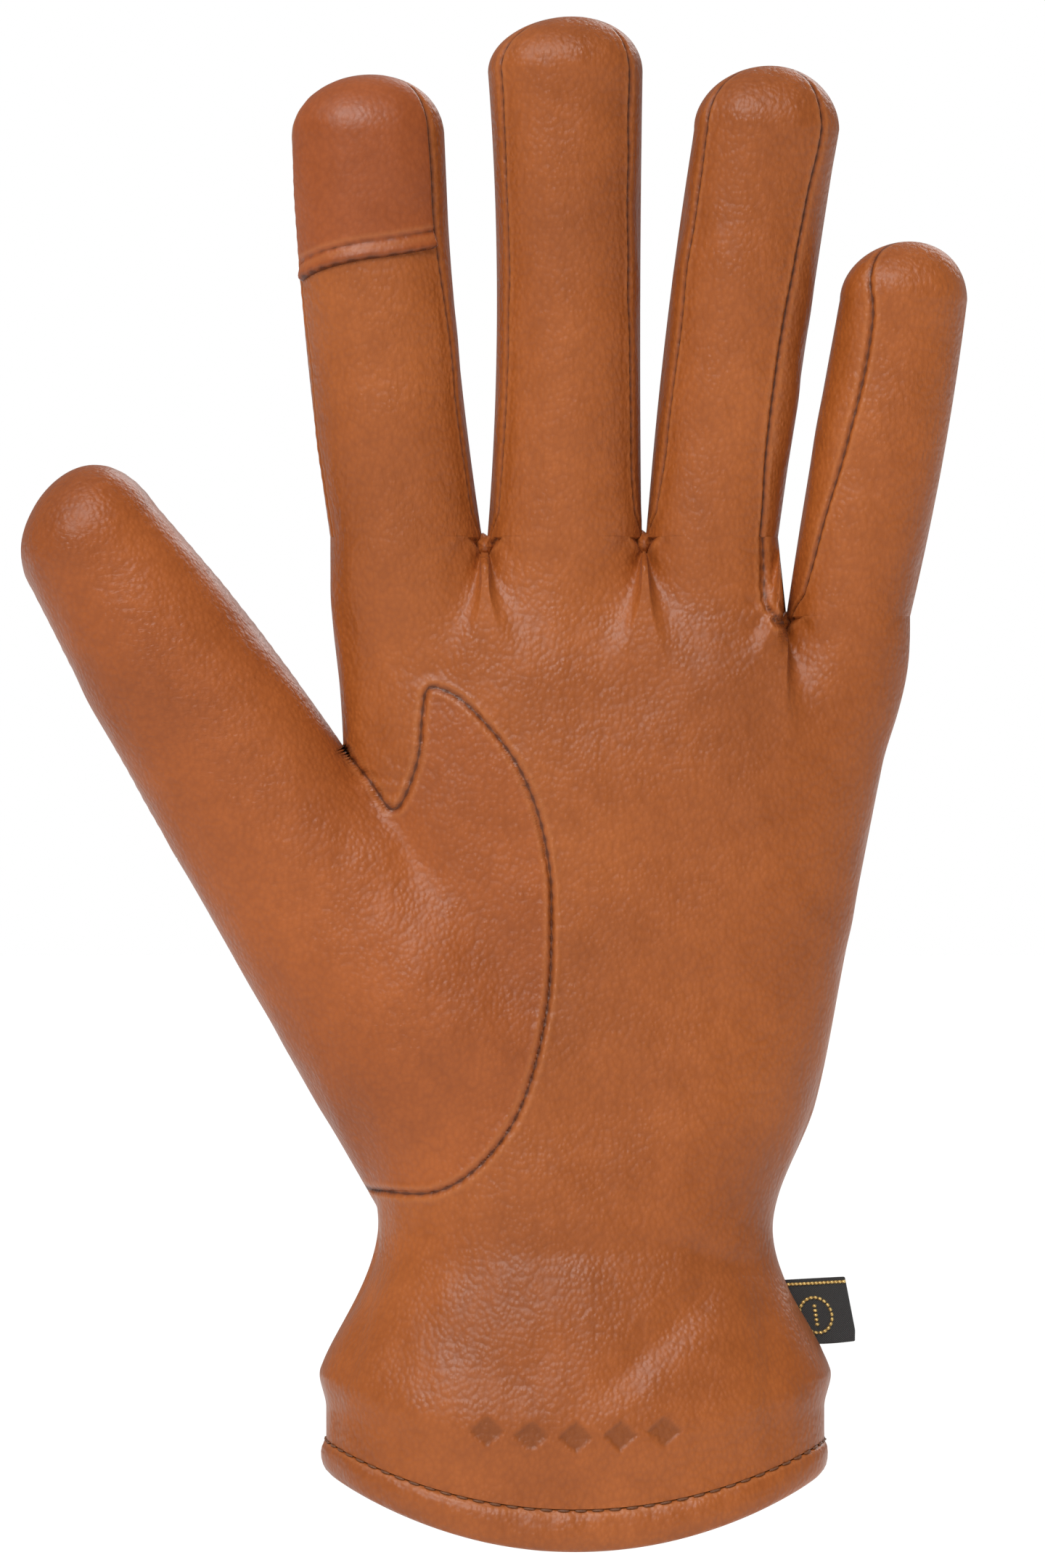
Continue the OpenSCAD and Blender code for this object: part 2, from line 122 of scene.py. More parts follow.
digits = [
    digitOf("index", 10.5, [-28.85, -33.05, -35.4, -34.9], [25.9, 25.9, 26.0], 10.4),
    digitOf("middle", 9.5, [-1.85, -1.15, -1.7, -0.6], [26.3, 24.5, 26.4], 10.4),
    digitOf("ring", 11.0, [23.35, 27.35, 32.6, 33.2], [22.5, 24.1, 24.6], 10.4),
    digitOf("little", 10.0, [46.6, 51.55, 56.05, 57.0], [21.1, 22.5, 21.7], 9.6),
]
thumb = digitOf("thumb", 13.0, [0, 0.6, 0.75, 3.2], [34.2, 30.8, 25.5], 14.0)


def mix(a, b, t):
    return a + (b - a) * t


def ease(a, b, v):  # 0 before a, 1 after b, an S curve between
    t = np.clip((v - a) / (b - a), 0, 1)
    return t * t * (3 - 2 * t)


def powered(v, p):
    return np.sign(v) * np.abs(v) ** p


def bump(v, middle, spread):  # a bell of height 1
    return np.exp(-((v - middle) / spread) ** 2)


def smoothKeys(keys, z):  # a cubic through [height, value] keys, level at both ends
    k = np.array(keys, float)
    slope = np.zeros(len(k))
    slope[1:-1] = (k[2:, 1] - k[:-2, 1]) / (k[2:, 0] - k[:-2, 0])
    z = np.clip(np.asarray(z, float), k[0, 0], k[-1, 0])
    i = np.clip(np.searchsorted(k[:, 0], z, side="right") - 1, 0, len(k) - 2)
    w = k[i + 1, 0] - k[i, 0]
    t = (z - k[i, 0]) / w
    return ((2 * t**3 - 3 * t**2 + 1) * k[i, 1] + (t**3 - 2 * t**2 + t) * w * slope[i]
            + (3 * t**2 - 2 * t**3) * k[i + 1, 1] + (t**3 - t**2) * w * slope[i + 1])


def throughThree(h, q, z):  # the parabola through three stations
    return (q[0] * (z - h[1]) * (z - h[2]) / ((h[0] - h[1]) * (h[0] - h[2]))
            + q[1] * (z - h[0]) * (z - h[2]) / ((h[1] - h[0]) * (h[1] - h[2]))
            + q[2] * (z - h[0]) * (z - h[1]) / ((h[2] - h[0]) * (h[2] - h[1])))


# A smooth random field: waves of about one length in seeded directions, between -1 and 1.
def waves(points, length, seed, count=14, stretch=(1, 1, 1)):
    rng = np.random.default_rng(seed)
    ways = rng.normal(size=(count, 3))
    ways /= np.linalg.norm(ways, axis=1)[:, None]
    rate = 2 * math.pi / (length * rng.uniform(0.7, 1.5, count))
    shift = rng.uniform(0, 2 * math.pi, count)
    phase = (points * np.array(stretch)) @ (ways * rate[:, None]).T + shift
    return np.sin(phase).sum(axis=-1) / math.sqrt(count)


def curveThrough(points, perSpan=14):  # a Catmull-Rom curve through given points
    p = np.array(points, float)
    p = np.vstack([2 * p[0] - p[1], p, 2 * p[-1] - p[-2]])
    t = np.linspace(0, 1, perSpan, endpoint=False)[:, None]
    spans = []
    for a, b, c, d in zip(p[:-3], p[1:-2], p[2:-1], p[3:]):
        spans.append(0.5 * (2 * b + (c - a) * t + (2 * a - 5 * b + 4 * c - d) * t**2
                            + (3 * b - a - 3 * c + d) * t**3))
    return np.vstack(spans + [p[-2:-1]])


def quadsOf(rows, cols, closed):  # faces of a grid; closed joins the last column to the first
    index = np.arange(rows * cols).reshape(rows, cols)
    if closed:
        index = np.hstack([index, index[:, :1]])
    quads = np.stack([index[:-1, :-1], index[:-1, 1:], index[1:, 1:], index[1:, :-1]], axis=-1)
    return quads.reshape(-1, 4)


def addThing(name, data):  # a new object in the scene
    thing = bpy.data.objects.new(name, data)
    bpy.context.collection.objects.link(thing)
    return thing


# Points in metres and faces become a piece. rest holds each point's own place, marks are numbers
# at each point for the material, and points closer than mergeWithin become one.
def meshPiece(name, points, faces, marks, mergeWithin, dropSlivers):
    mesh = bpy.data.meshes.new(name)
    mesh.from_pydata(points.tolist(), [], faces.tolist())
    rest = mesh.attributes.new("rest", "FLOAT_VECTOR", "POINT")
    rest.data.foreach_set("vector", points.astype(np.float32).ravel())
    for key, values in marks.items():
        layer = mesh.attributes.new(key, "FLOAT", "POINT")
        layer.data.foreach_set("value", values.astype(np.float32))
    work = bmesh.new()
    work.from_mesh(mesh)
    bmesh.ops.remove_doubles(work, verts=work.verts, dist=mergeWithin)
    if dropSlivers:
        bmesh.ops.dissolve_degenerate(work, edges=work.edges, dist=1e-7)
    work.to_mesh(mesh)
    work.free()
    mesh.shade_smooth()
    return addThing(name, mesh)


# A grid of points in millimetres becomes a piece. keep says which of its faces are wanted.
def gridPiece(name, p, marks=None, closed=False, keep=None, flip=False):
    quads = quadsOf(*p.shape[:2], closed)
    if keep is not None:
        quads = quads[keep]
    if flip:
        quads = quads[:, ::-1]
    used, packed = np.unique(quads, return_inverse=True)
    marks = {key: values.reshape(-1)[used] for key, values in (marks or {}).items()}
    return meshPiece(name, p.reshape(-1, 3)[used] * mm, packed.reshape(-1, 4), marks, 1e-6, True)


# Joins many small copies of one grid, such as stitches: each gets a place and three axes.
def scatterPiece(name, shape, places, right, forward, up):
    flat = shape.reshape(-1, 3)
    quads = quadsOf(*shape.shape[:2], True)
    local = (flat[None, :, 0:1] * right[:, None] + flat[None, :, 1:2] * forward[:, None]
             + flat[None, :, 2:3] * up[:, None])
    points = (places[:, None] + local).reshape(-1, 3) * mm
    faces = (quads[None] + (np.arange(len(places)) * len(flat))[:, None, None]).reshape(-1, 4)
    return meshPiece(name, points, faces, {}, 1e-7, False)


# A stitch: a round thread of the given length that dips at both ends. Length along x, up along z.
def stitchShape(length, thick):
    v = np.linspace(0, math.pi, 7)[:, None]
    u = np.linspace(0, 2 * math.pi, 6, endpoint=False)[None]
    along = -np.cos(v) * length / 2 + 0 * u
    girth = np.sin(v) ** 0.5 * thick / 2
    dip = -(2 * along / length) ** 2 * thick * 0.5
    return np.stack([along, girth * np.cos(u), girth * np.sin(u) + dip], axis=-1)


# The hand's edges and half depth at each height, as [height, value] keys.
leftKeys = [[14, -hand["cuffHalf"] + 1], [22, -hand["cuffHalf"]],
            [hand["wristHeight"], -hand["wristHalf"]], [75, -38.5], [100, -39.5], [136, -39.6],
            [hand["crotch"], -41.8]]
rightKeys = [[14, hand["cuffHalf"] - 1], [22, hand["cuffHalf"]],
             [hand["wristHeight"], hand["wristHalf"]], [75, 41], [100, 46], [136, 53],
             [hand["littleCrotch"], 57.1], [hand["crotch"], 59.5]]
depthKeys = [[10, hand["cuffDepth"]], [22, hand["cuffDepth"]],
             [hand["wristHeight"], hand["wristDepth"]], [90, hand["palmDepth"] + 3],
             [130, hand["palmDepth"] + 0.5], [hand["crotch"], 11.4]]
thumbHalf = thumb["widths"][0] / 2
thumbGrowth = 0.073           # how fast the thumb's root widens down its axis
leanCos = math.cos(thumbLean)
leanSin = math.sin(thumbLean)
foldLow = thumbRoot[1] - thumbHalf * leanSin    # lower end of the thumb's fold line
foldHigh = thumbRoot[1] + thumbHalf * leanSin   # its upper end, the thumb's crotch


# Middle of a digit: a parabola below the rounded end, then a square law to the tip.
def digitMiddle(d, z):
    h, m = d["heights"], d["middles"]
    t = np.clip((z - h[2]) / (h[3] - h[2]), 0, 1)
    return np.where(z < h[2], throughThree(h, m, z), mix(m[2], m[3], t**2))


def digitHalf(d, z):  # half the width: a parabola that stays level round the tip
    return throughThree(d["heights"], d["widths"], np.minimum(z, d["heights"][2])) / 2


def digitDepth(d, z):  # half the depth: seven hundredths less beyond the knuckle
    return d["depth"] * mix(1, 0.93, ease(d["heights"][1], d["heights"][2], z))


# A digit's skin: a squared-up ellipse at each height, scaled by shrink round the tip. The angle a
# is 0 at the right edge, 90 on the palm side, 180 at the left edge and 270 on the back.
def digitSkin(d, z, shrink, a, inset):
    rad = np.radians(a)
    across = powered(np.cos(rad), hand["square"])
    out = powered(np.sin(rad), hand["square"])
    x = digitMiddle(d, z) + (digitHalf(d, z) - inset) * shrink * across
    y = -(digitDepth(d, z) - inset) * shrink * out
    return np.stack([x, y, z + 0 * a], axis=-1)


def leanThumb(p):  # from the thumb's upright frame into the hand's
    x = thumbRoot[0] + p[..., 0] * leanCos - p[..., 2] * leanSin
    z = thumbRoot[1] + p[..., 0] * leanSin + p[..., 2] * leanCos
    return np.stack([x, p[..., 1], z], axis=-1)


# Half the depth of the palm: a flattened ellipse between the two edges.
def slabDepth(x, z, inset):
    left = smoothKeys(leftKeys, z) + inset
    right = smoothKeys(rightKeys, z) - inset
    e = np.clip(np.abs((2 * x - left - right) / (right - left)), 0, 1)
    power = hand["palmPower"]
    return np.maximum(smoothKeys(depthKeys, z) - inset, 0) * (1 - e**power) ** (1 / power)


# Half the depth of the thumb's root: a tube that widens and sinks away down its own axis.
def rootDepth(x, z, inset):
    across = (x - thumbRoot[0]) * leanCos + (z - thumbRoot[1]) * leanSin
    down = (x - thumbRoot[0]) * leanSin - (z - thumbRoot[1]) * leanCos
    half = thumbHalf + thumbGrowth * np.maximum(down, 0) - inset
    e = np.clip(np.abs(across / half), 0, 1)
    deep = thumb["depth"] * mix(1, 1.25, ease(0, 50, down)) * (1 - ease(50, 90, down)) - inset
    return np.maximum(deep, 0) * (1 - e ** (2 / hand["square"])) ** (hand["square"] / 2)


def handDepth(x, z, inset):  # palm and thumb root merged by a high power
    m = hand["merge"]
    return (slabDepth(x, z, inset) ** m + rootDepth(x, z, inset) ** m) ** (1 / m)


# Left edge of the hand with the thumb's root: the palm's own edge, the root's outer edge, or the
# thumb's fold line, whichever stands at that height.
def handLeft(z, inset):
    palm = smoothKeys(leftKeys, z) + inset
    grow = leanSin - thumbGrowth * leanCos
    outer = thumbRoot[0] - (thumbHalf - inset + (z - thumbRoot[1]) * grow) \
        / (leanCos + thumbGrowth * leanSin)
    fold = thumbRoot[0] + (z - thumbRoot[1]) * leanCos / leanSin
    return np.where(z > foldHigh, palm, np.where(z > foldLow, fold, np.minimum(palm, outer)))


def levelRise(x, level):  # how far the dip of the cuff's edge lifts a level, out to the sides
    return hand["hemRise"] * (x / hand["cuffHalf"]) ** 2 \
        * np.clip(1 - level / hand["wristHeight"], 0, 1)


# The hand's skin: columns run through all four finger roots, from the index to the little finger.
# They keep their share of the width, then gather onto the roots over the last stretch. Between two
# roots the skin dives to the middle over a shorter way.
def handSkin(side, levels, perDigit, insetOf):
    roots = [(d["heights"][0], d["middles"][0], d["widths"][0] / 2, d["depth"]) for d in digits]
    h0, middle, half, deep = np.repeat(roots, perDigit, axis=0).T
    angle = np.tile(np.linspace(180, 0, perDigit), len(digits))
    c = powered(np.cos(np.radians(angle)), hand["square"])
    s = np.sin(np.radians(angle))
    rootX = middle + half * c
    share = (rootX - rootX[0]) / (rootX[-1] - rootX[0])
    z = np.minimum(levels[:, None], h0[None])
    nearX = ease(h0 - hand["gather"], h0, z)
    nearY = ease(h0 - mix(hand["dive"], hand["gather"], s), h0, z)

    def place(skin):
        left = handLeft(z, skin)
        right = smoothKeys(rightKeys, z) - skin
        spread = mix(left, right, share)
        x = mix(spread, middle + (half - skin) * c, nearX)
        y = mix(handDepth(spread, z, skin), (deep - skin) * powered(s, hand["square"]), nearY)
        return np.stack([x, -side * y, z + levelRise(x, z)], axis=-1)

    return place(insetOf(place(0 * z), z, angle[None] + 0 * z)), z


# Seams: how deep and wide the groove is, and how the leather puckers along it.
seam = {"depth": 0.50, "width": 0.42, "ridge": 0.15, "pucker": 0.10, "pitch": 2.4}

# The thumb's keystone seam, from the hand's edge by the wrist, round over the palm, up to its
# point, down to the stitched crotch and out to the crotch between thumb and hand.
keystone = {"points": [(-36.5, 60.6), (-33, 60.2), (-23.5, 60.4), (-15.4, 65.7), (-8.9, 75.6),
                       (-4.8, 91.6), (-4.1, 108), (-4.7, 117), (-6.9, 126), (-10.9, 134.3),
                       (-17.8, 142.3), (-22, 145.2), (-25.1, 145.6), (-26, 141.5),
                       (-26.9, 133), (-30.6, 125), (-35, 130), (-40.5, 136.8)]}


# Distance from points to a run of short straight pieces, and how far along the nearest point is.
def distanceTo(line, x, z):
    best = np.full(x.shape, 1e9)
    along = np.zeros(x.shape)
    run = 0.0
    for (ax, az), (bx, bz) in zip(line[:-1], line[1:]):
        dx, dz = bx - ax, bz - az
        size = math.hypot(dx, dz)
        t = np.clip(((x - ax) * dx + (z - az) * dz) / size**2, 0, 1)
        d = np.hypot(x - ax - t * dx, z - az - t * dz)
        along = np.where(d < best, run + t * size, along)
        best = np.minimum(best, d)
        run += size
    return best, along


# Inside a closed outline: an odd number of its sides lie to the right.
def insideOf(line, x, z):
    inside = np.zeros(x.shape, bool)
    for (ax, az), (bx, bz) in zip(line, np.roll(line, -1, axis=0)):
        if az != bz:
            cross = (az > z) != (bz > z)
            inside ^= cross & (x < (bx - ax) * (z - az) / (bz - az) + ax)
    return inside


# The side strips' seams run on below the folds and meet under each crotch. The ring finger's
# inner strip has the longest way, down to the little finger's crotch.
stripEnds = [
    curveThrough([(31.8, 174), (31.9, 168), (32.0, 163), (32.6, 159.6), (34.8, 157.2)], 6),
    curveThrough([(-18.6, 174), (-17.0, 171), (-15.4, 169.6), (-13.6, 171), (-12.4, 174)], 5),
    curveThrough([(8.6, 174), (10.2, 171.2), (11.7, 169.9), (13.2, 171.2), (14.6, 174)], 5),
    curveThrough([(39.6, 160), (37.2, 157.6), (34.8, 156.4), (33.6, 157.4)], 5),
]
keyLine = curveThrough(keystone["points"], 8)
keyOutline = np.vstack([keyLine, [(-44, 140), (-90, 140), (-90, 55), (-36.5, 55)]])


# A seam's groove at a distance from it: a narrow bell, a low ridge on each side, and puckers that
# repeat along it.
def seamGroove(distance, along, strength=1.0):
    groove = seam["depth"] * bump(distance, 0, seam["width"])
    ridge = seam["ridge"] * bump(distance, seam["width"] * 2.4, seam["width"] * 1.3)
    beat = 0.5 + 0.5 * np.sin(2 * math.pi * along / seam["pitch"])
    pucker = seam["pucker"] * beat * bump(distance, 0, 2.2)
    return strength * (groove - ridge + pucker)


soft = {"broad": 0.24, "broadLength": 26, "fine": 0.07, "fineLength": 8, "edgeFade": 2.5}


# Soft unevenness that runs over every piece alike: waves of two lengths, gone at the side edges.
def softWaves(p):
    height = soft["broad"] * waves(p, soft["broadLength"], 3) \
        + soft["fine"] * waves(p, soft["fineLength"], 4, stretch=(1.3, 1, 0.7))
    return height * ease(0, soft["edgeFade"], np.abs(p[..., 1]))


palm = {
    "perDigit": 74,
    "rowStep": 0.45,
    "edgeFade": 3.0,     # presses fade out where the hand is thinner than this
    # soft folds as [from x, z, to x, z, depth, width]
    "folds": [[25, 46, 6, 28, 0.9, 3.2], [32, 46, 34, 20, 0.8, 3.0], [-30, 126, -26, 106, 0.5, 3.5],
              [20, 50, 31, 47, 0.7, 2.2], [-38, 141, -28, 131, 0.35, 1.6],
              [-37, 131, -29, 130, 0.5, 0.9], [-35, 128, -29.5, 127.6, 0.4, 0.8],
              [-27, 147, -22, 150, 0.3, 2.0], [-10, 50, 24, 51, 0.35, 2.6],
              [34, 33, 41, 26, 0.5, 2.2], [-33, 50, -41, 24, 0.5, 2.2]],
    "knots": [[-15.4, 171], [11.7, 171.5], [34.9, 158]],   # crotches where the skin bunches
    "creases": {"count": 9, "depth": 0.16, "reach": 4.5, "width": 3.0},
    "motif": {"x": [-15, -7.5, 0, 7.5, 15], "z": 19.4, "half": 2.6, "depth": 0.38,
              "level": 19, "stretch": 1.15},
    # how strongly the wrinkles show: everywhere, then over the ball of the thumb, in the middle
    # of the palm as [x, z, reach, strength], and below the fingers as [from z, to z, strength]
    "grain": {"all": 0.12, "ball": [-48, 88, 92, 26, 0.75], "middle": [20, 100, 24, 0.35],
              "fingers": [150, 171, 0.5]},
}


# The emboss on the cuff: five plain lozenges pressed into the leather.
def motifPress(x, z):
    m = palm["motif"]
    press = np.zeros(x.shape)
    for middle in m["x"]:
        away = np.abs(x - middle) / m["stretch"] \
            + np.abs(z - m["z"] - levelRise(middle, m["level"]))
        press = np.maximum(press, 1 - ease(m["half"] - 0.5, m["half"] + 0.3, away))
    return press


def foldPress(x, z):  # each soft fold is a bell across a straight run that fades at its ends
    press = np.zeros(x.shape)
    for ax, az, bx, bz, depth, width in palm["folds"]:
        size = math.hypot(bx - ax, bz - az)
        t = ((x - ax) * (bx - ax) + (z - az) * (bz - az)) / size**2
        away = np.hypot(x - ax - t * (bx - ax), z - az - t * (bz - az))
        press += depth * bump(away, 0, width) * ease(-0.25, 0.25, t) * (1 - ease(0.75, 1.25, t))
    return press


# The leather bunches at the foot of each pair of fingers: short creases that fan out downwards.
def knotPress(x, z):
    c = palm["creases"]
    press = np.zeros(x.shape)
    for kx, kz in palm["knots"]:
        reach = np.hypot(x - kx, z - kz)
        fan = np.cos(c["count"] * np.arctan2(x - kx, kz - z + 3))
        press += c["depth"] * fan * bump(reach, c["reach"], c["width"])
    return press


def handSeams(x, h):  # the nearest of the keystone seam and the strips' ends, and how far along
    away, along = distanceTo(keyLine, x, h)
    for line in stripEnds:
        other, run = distanceTo(line, x, h)
        along = np.where(other < away, run, along)
        away = np.minimum(away, other)
    return away, along


# How far the palm's skin is pressed in: soft waves and seams, and away from the edges soft folds,
# creases under the crotches and the emboss.
def palmInset(p, z, a):
    x, h = p[..., 0], p[..., 2]
    away, along = handSeams(x, h)
    edge = ease(0, palm["edgeFade"], handDepth(x, z, 0))
    press = seamGroove(away, along, edge)
    return softWaves(p) + press + edge * (foldPress(x, h) + knotPress(x, h)
                                          + palm["motif"]["depth"] * motifPress(x, h))


back = {"gathers": 15, "gatherDepth": 1.25, "gatherReach": 7.5,
        "pinch": 0.8, "pinchReach": 3.0,               # the elastic's own pull
        "raised": 0.8, "raisedWidth": 0.7, "beside": 0.35, "besideAt": 1.8, "besideWidth": 0.8,
        "lines": [[(-17, 146), (-11, 104)], [(0, 148), (0, 102)], [(19, 146), (13, 104)]]}


# How far the back's skin is pressed in: soft waves, the keystone seam as far as the crotch, rows
# of gathers over the elastic that follow a bent sine, and three raised lines with a dip on each
# side.
def backInset(p, z, a):
    x, h = p[..., 0], p[..., 2]
    away, along = distanceTo(keyLine[:-8], x, h)
    edge = ease(0, palm["edgeFade"], handDepth(x, z, 0))
    beat = 2 * math.pi * back["gathers"] * x / (2 * hand["wristHalf"]) + 1.3 * np.sin(x / 5)
    pleat = (0.5 - 0.5 * np.cos(beat)) ** 1.5
    gather = back["gatherDepth"] * pleat * bump(z, hand["wristHeight"], back["gatherReach"])
    gather += back["pinch"] * bump(z, hand["wristHeight"], back["pinchReach"])
    raised = np.zeros(x.shape)
    for line in back["lines"]:
        d, run = distanceTo(np.array(line), x, h)
        raised += back["beside"] * bump(d, back["besideAt"], back["besideWidth"]) \
            - back["raised"] * bump(d, 0, back["raisedWidth"])
    outline = np.where(h > foldHigh - 3, 0, 1)
    return softWaves(p) + edge * (seamGroove(away, along, outline) + gather + raised)


hemTop = hand["hemHeight"] + 0.4
levels = np.concatenate([np.arange(hemTop, hand["littleCrotch"], palm["rowStep"]),
                         np.linspace(hand["littleCrotch"], hand["crotch"], 27)])


# Wrinkles: bells over the ball of the thumb and in mid palm, and an S curve up to the fingers.
def handGrain(x, h):
    g = palm["grain"]
    bx, skewZ, bz, ballReach, ball = g["ball"]
    mx, mz, midReach, middle = g["middle"]
    low, high, fingers = g["fingers"]
    fromBall = np.hypot((x - bx) * 0.8 + (h - skewZ) * 0.35, h - bz)
    grain = g["all"] + ball * bump(fromBall, 0, ballReach) + fingers * ease(low, high, h) \
        + middle * bump(np.hypot(x - mx, h - mz), 0, midReach)
    return np.clip(grain, 0, 1)


# One side of the hand as two pieces, parted along the keystone seam.
def makeHandSide(side, pressOf, names, nodes):
    p, z = handSkin(side, levels, palm["perDigit"], pressOf)
    x, h = p[..., 0], p[..., 2]
    away, along = handSeams(x, h)
    inThumb = insideOf(keyOutline, x, h)
    quadThumb = inThumb[:-1, :-1] & inThumb[1:, 1:]
    marks = {"seam": np.where(inThumb, -away, away), "run": along,
             "grain": handGrain(x, h), "press": motifPress(x, h) * (side > 0)}
    made = []
    for name, keep, stands in zip(names, (~quadThumb, quadThumb), nodes):
        piece = gridPiece(name, p, marks, keep=keep.reshape(-1), flip=side < 0)
        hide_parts(*stands)
        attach(piece, "hand")
        made.append(piece)
    return made


palmSkin, thumbRootFront = makeHandSide(1, palmInset, ("palmSkin", "thumbRootFront"),
                                        (["palm_panel"], ["thumb_base_front"]))
backSkin, thumbRootBack = makeHandSide(-1, backInset, ("backSkin", "thumbRootBack"),
                                       (["back_panel"], ["thumb_base_back"]))
print("hand skins made")


# A digit's seams, as [height, angle] keys on its right and left. A strip has a seam on both of
# its sides; a single seam has one angle past the edge.
fingerSeams = {
    "index": {"right": [[171.5, 12], [176, 21], [205, 28], [236, 38]], "leftOne": 167},
    "middle": {"right": [[171.5, 14], [176, 27], [250, 35]],
               "left": [[171.5, 14], [176, 27], [250, 34]]},
    "ring": {"right": [[158, 45], [174, 46], [192, 54], [212, 52], [227, 46], [240, 42]],
             "left": [[171.5, 16], [176, 30], [240, 37]]},
    "little": {"left": [[158, 22], [162, 38], [178, 54], [193, 65], [208, 66], [216, 58]]},
    "thumb": {"rightOne": -9, "leftOne": 189},
}
splitAt = {"index": 187.5, "middle": 187.5, "ring": 187.5, "little": 171, "thumb": 13.5}
bendReach = {"index": 11, "middle": 11, "ring": 11, "little": 10, "thumb": 11}


# How far a point on a digit lies from the nearest seam: the angle between them times the girth.
# It is negative on a side strip, so that it passes through nought at the strip's two seams.
def seamAway(d, z, shrink, a):
    f = fingerSeams[d["name"]]
    girth = np.sqrt(digitHalf(d, z) * digitDepth(d, z)) * np.maximum(shrink, 0.02)
    close = shrink ** 0.5                      # strips close up towards the rounded tip
    away = np.full(np.broadcast(z, a).shape, 1e3)
    for side, middle in (("right", 0), ("left", 180)):
        turn = np.abs((a - middle + 180) % 360 - 180)
        if side in f:
            strip = np.radians(turn - smoothKeys(f[side], z) * close) * girth
            away = np.where(np.abs(strip) < np.abs(away), strip, away)
        if side + "One" in f:
            s = middle + (f[side + "One"] - middle) * close
            single = np.radians(np.abs((a - s + 180) % 360 - 180)) * girth
            away = np.where(single < np.abs(away), single, away)
    return away


# Rows of a digit: level rows up to the rounded end, then a quarter turn to the tip.
def digitRows(d, low, high, step, domeSteps, inset=0.0):
    h = d["heights"]
    if high < h[2]:
        z = np.linspace(low, high, max(2, int((high - low) / step)))
        return z, np.ones(len(z))
    z = np.linspace(low, h[2], max(2, int((h[2] - low) / step)))
    s = np.linspace(0, math.pi / 2, domeSteps)[1:]
    return (np.concatenate([z, h[2] + (h[3] - inset - h[2]) * np.sin(s)]),
            np.concatenate([np.ones(len(z)), np.cos(s)]))


def placeDigit(d, p):  # the thumb leans, the fingers stand as they are
    return leanThumb(p) if d["name"] == "thumb" else p


digitGrid = {"step": 0.55, "domeRows": 28, "columns": 224,
             "rimUnder": [1.4, 0.8, 0.3, 0.04], "rimSunk": [0.82, 0.64, 0.49, 0.0],
             "grain": 0.35, "frontGrain": 0.75}
liningGrid = {"step": 2.0, "domeRows": 9, "columns": 48, "tipInset": 1.6, "inset": 1.9}


# One length of a digit's leather: the skin, pressed in by the seams and the soft waves. A short rim
# runs on under the hand's skin and closes the join.
def makeDigit(d, low, high, name, nodes, bodies):
    g = digitGrid
    z, shrink = digitRows(d, low, high, g["step"], g["domeRows"])
    sunk = np.zeros(len(z))
    if bodies[0] == "hand":
        z = np.concatenate([low - np.array(g["rimUnder"]), z])
        shrink = np.concatenate([np.ones(len(g["rimUnder"])), shrink])
        sunk = np.concatenate([g["rimSunk"], sunk])
    a = np.linspace(180, -180, g["columns"] + 1)[:-1][None]
    z, shrink, sunk = z[:, None], shrink[:, None], sunk[:, None]
    flat = placeDigit(d, digitSkin(d, z, shrink, a, 0))
    away = seamAway(d, z, shrink, a)
    along = z + 0 * a
    press = softWaves(flat) + seamGroove(away, along, ease(0, 0.35, shrink)) + sunk
    p = placeDigit(d, digitSkin(d, z, shrink, a, press))
    front = np.abs(np.sin(np.radians(a))) + 0 * z
    marks = {"seam": away, "run": along, "press": 0 * away,
             "grain": np.clip(g["grain"] + g["frontGrain"] * front, 0, 1)}
    piece = gridPiece(name, p, marks, closed=True)
    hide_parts(*nodes)
    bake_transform(piece)
    return piece


# The lining of one length of a digit: the same skin, drawn in under the leather.
def makeDigitLining(d, low, high, name, nodes):
    g = liningGrid
    z, shrink = digitRows(d, low, high, g["step"], g["domeRows"], g["tipInset"])
    a = np.linspace(180, -180, g["columns"] + 1)[:-1][None]
    z, shrink = z[:, None], shrink[:, None]
    flat = placeDigit(d, digitSkin(d, z, shrink, a, 0))
    p = placeDigit(d, digitSkin(d, z, shrink, a, g["inset"] + softWaves(flat)))
    piece = gridPiece(name, p, closed=True)
    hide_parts(*nodes)
    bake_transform(piece)
    return piece


def axisPoint(d, z):  # a point in metres on the digit's axis, level with its folds
    return tuple(placeDigit(d, np.array([0.0, 0.0, z])) * mm)


leatherPieces = [palmSkin, backSkin]
thumbPieces = [thumbRootFront, thumbRootBack]
liningPieces = []
for d in digits + [thumb]:
    n = d["name"]
    first = "thumb_mid" if n == "thumb" else n + "_base"
    last = n + "_tip"
    h, split, reach = d["heights"], splitAt[n], bendReach[n]
    lowSpan = (axisPoint(d, h[0]), axisPoint(d, split))
    highSpan = (axisPoint(d, h[1] - reach), axisPoint(d, h[1] + reach))
    group = thumbPieces if n == "thumb" else leatherPieces
    for low, high, under, part, end, span in ((h[0], split, "hand", first, "Base", lowSpan),
                                              (split, h[3], first, last, "Tip", highSpan)):
        sewn = [k for k in frame["nodes"] if k.startswith(part + "_")]
        lined = [part + "_lining"]
        sewn.remove(lined[0])
        group.append(makeDigit(d, low, high, n + end, sewn, (under, part)))
        liningPieces.append(makeDigitLining(d, low, high, n + end + "Lining", lined))
print("digits made")

cap = {"edgeRight": 220.6, "edgeLeft": 214.6, "edgeBow": 0.5, "proud": 0.65, "columns": 90,
       "hemLift": 0.35, "hemAt": 0.9, "stitchAbove": 3.1, "stitchWidth": 0.4, "stitches": 11,
       "stitchDepth": 0.22, "girth": 11.6, "sideTuck": 0.45, "edgeTuck": 0.35, "grain": 0.3}


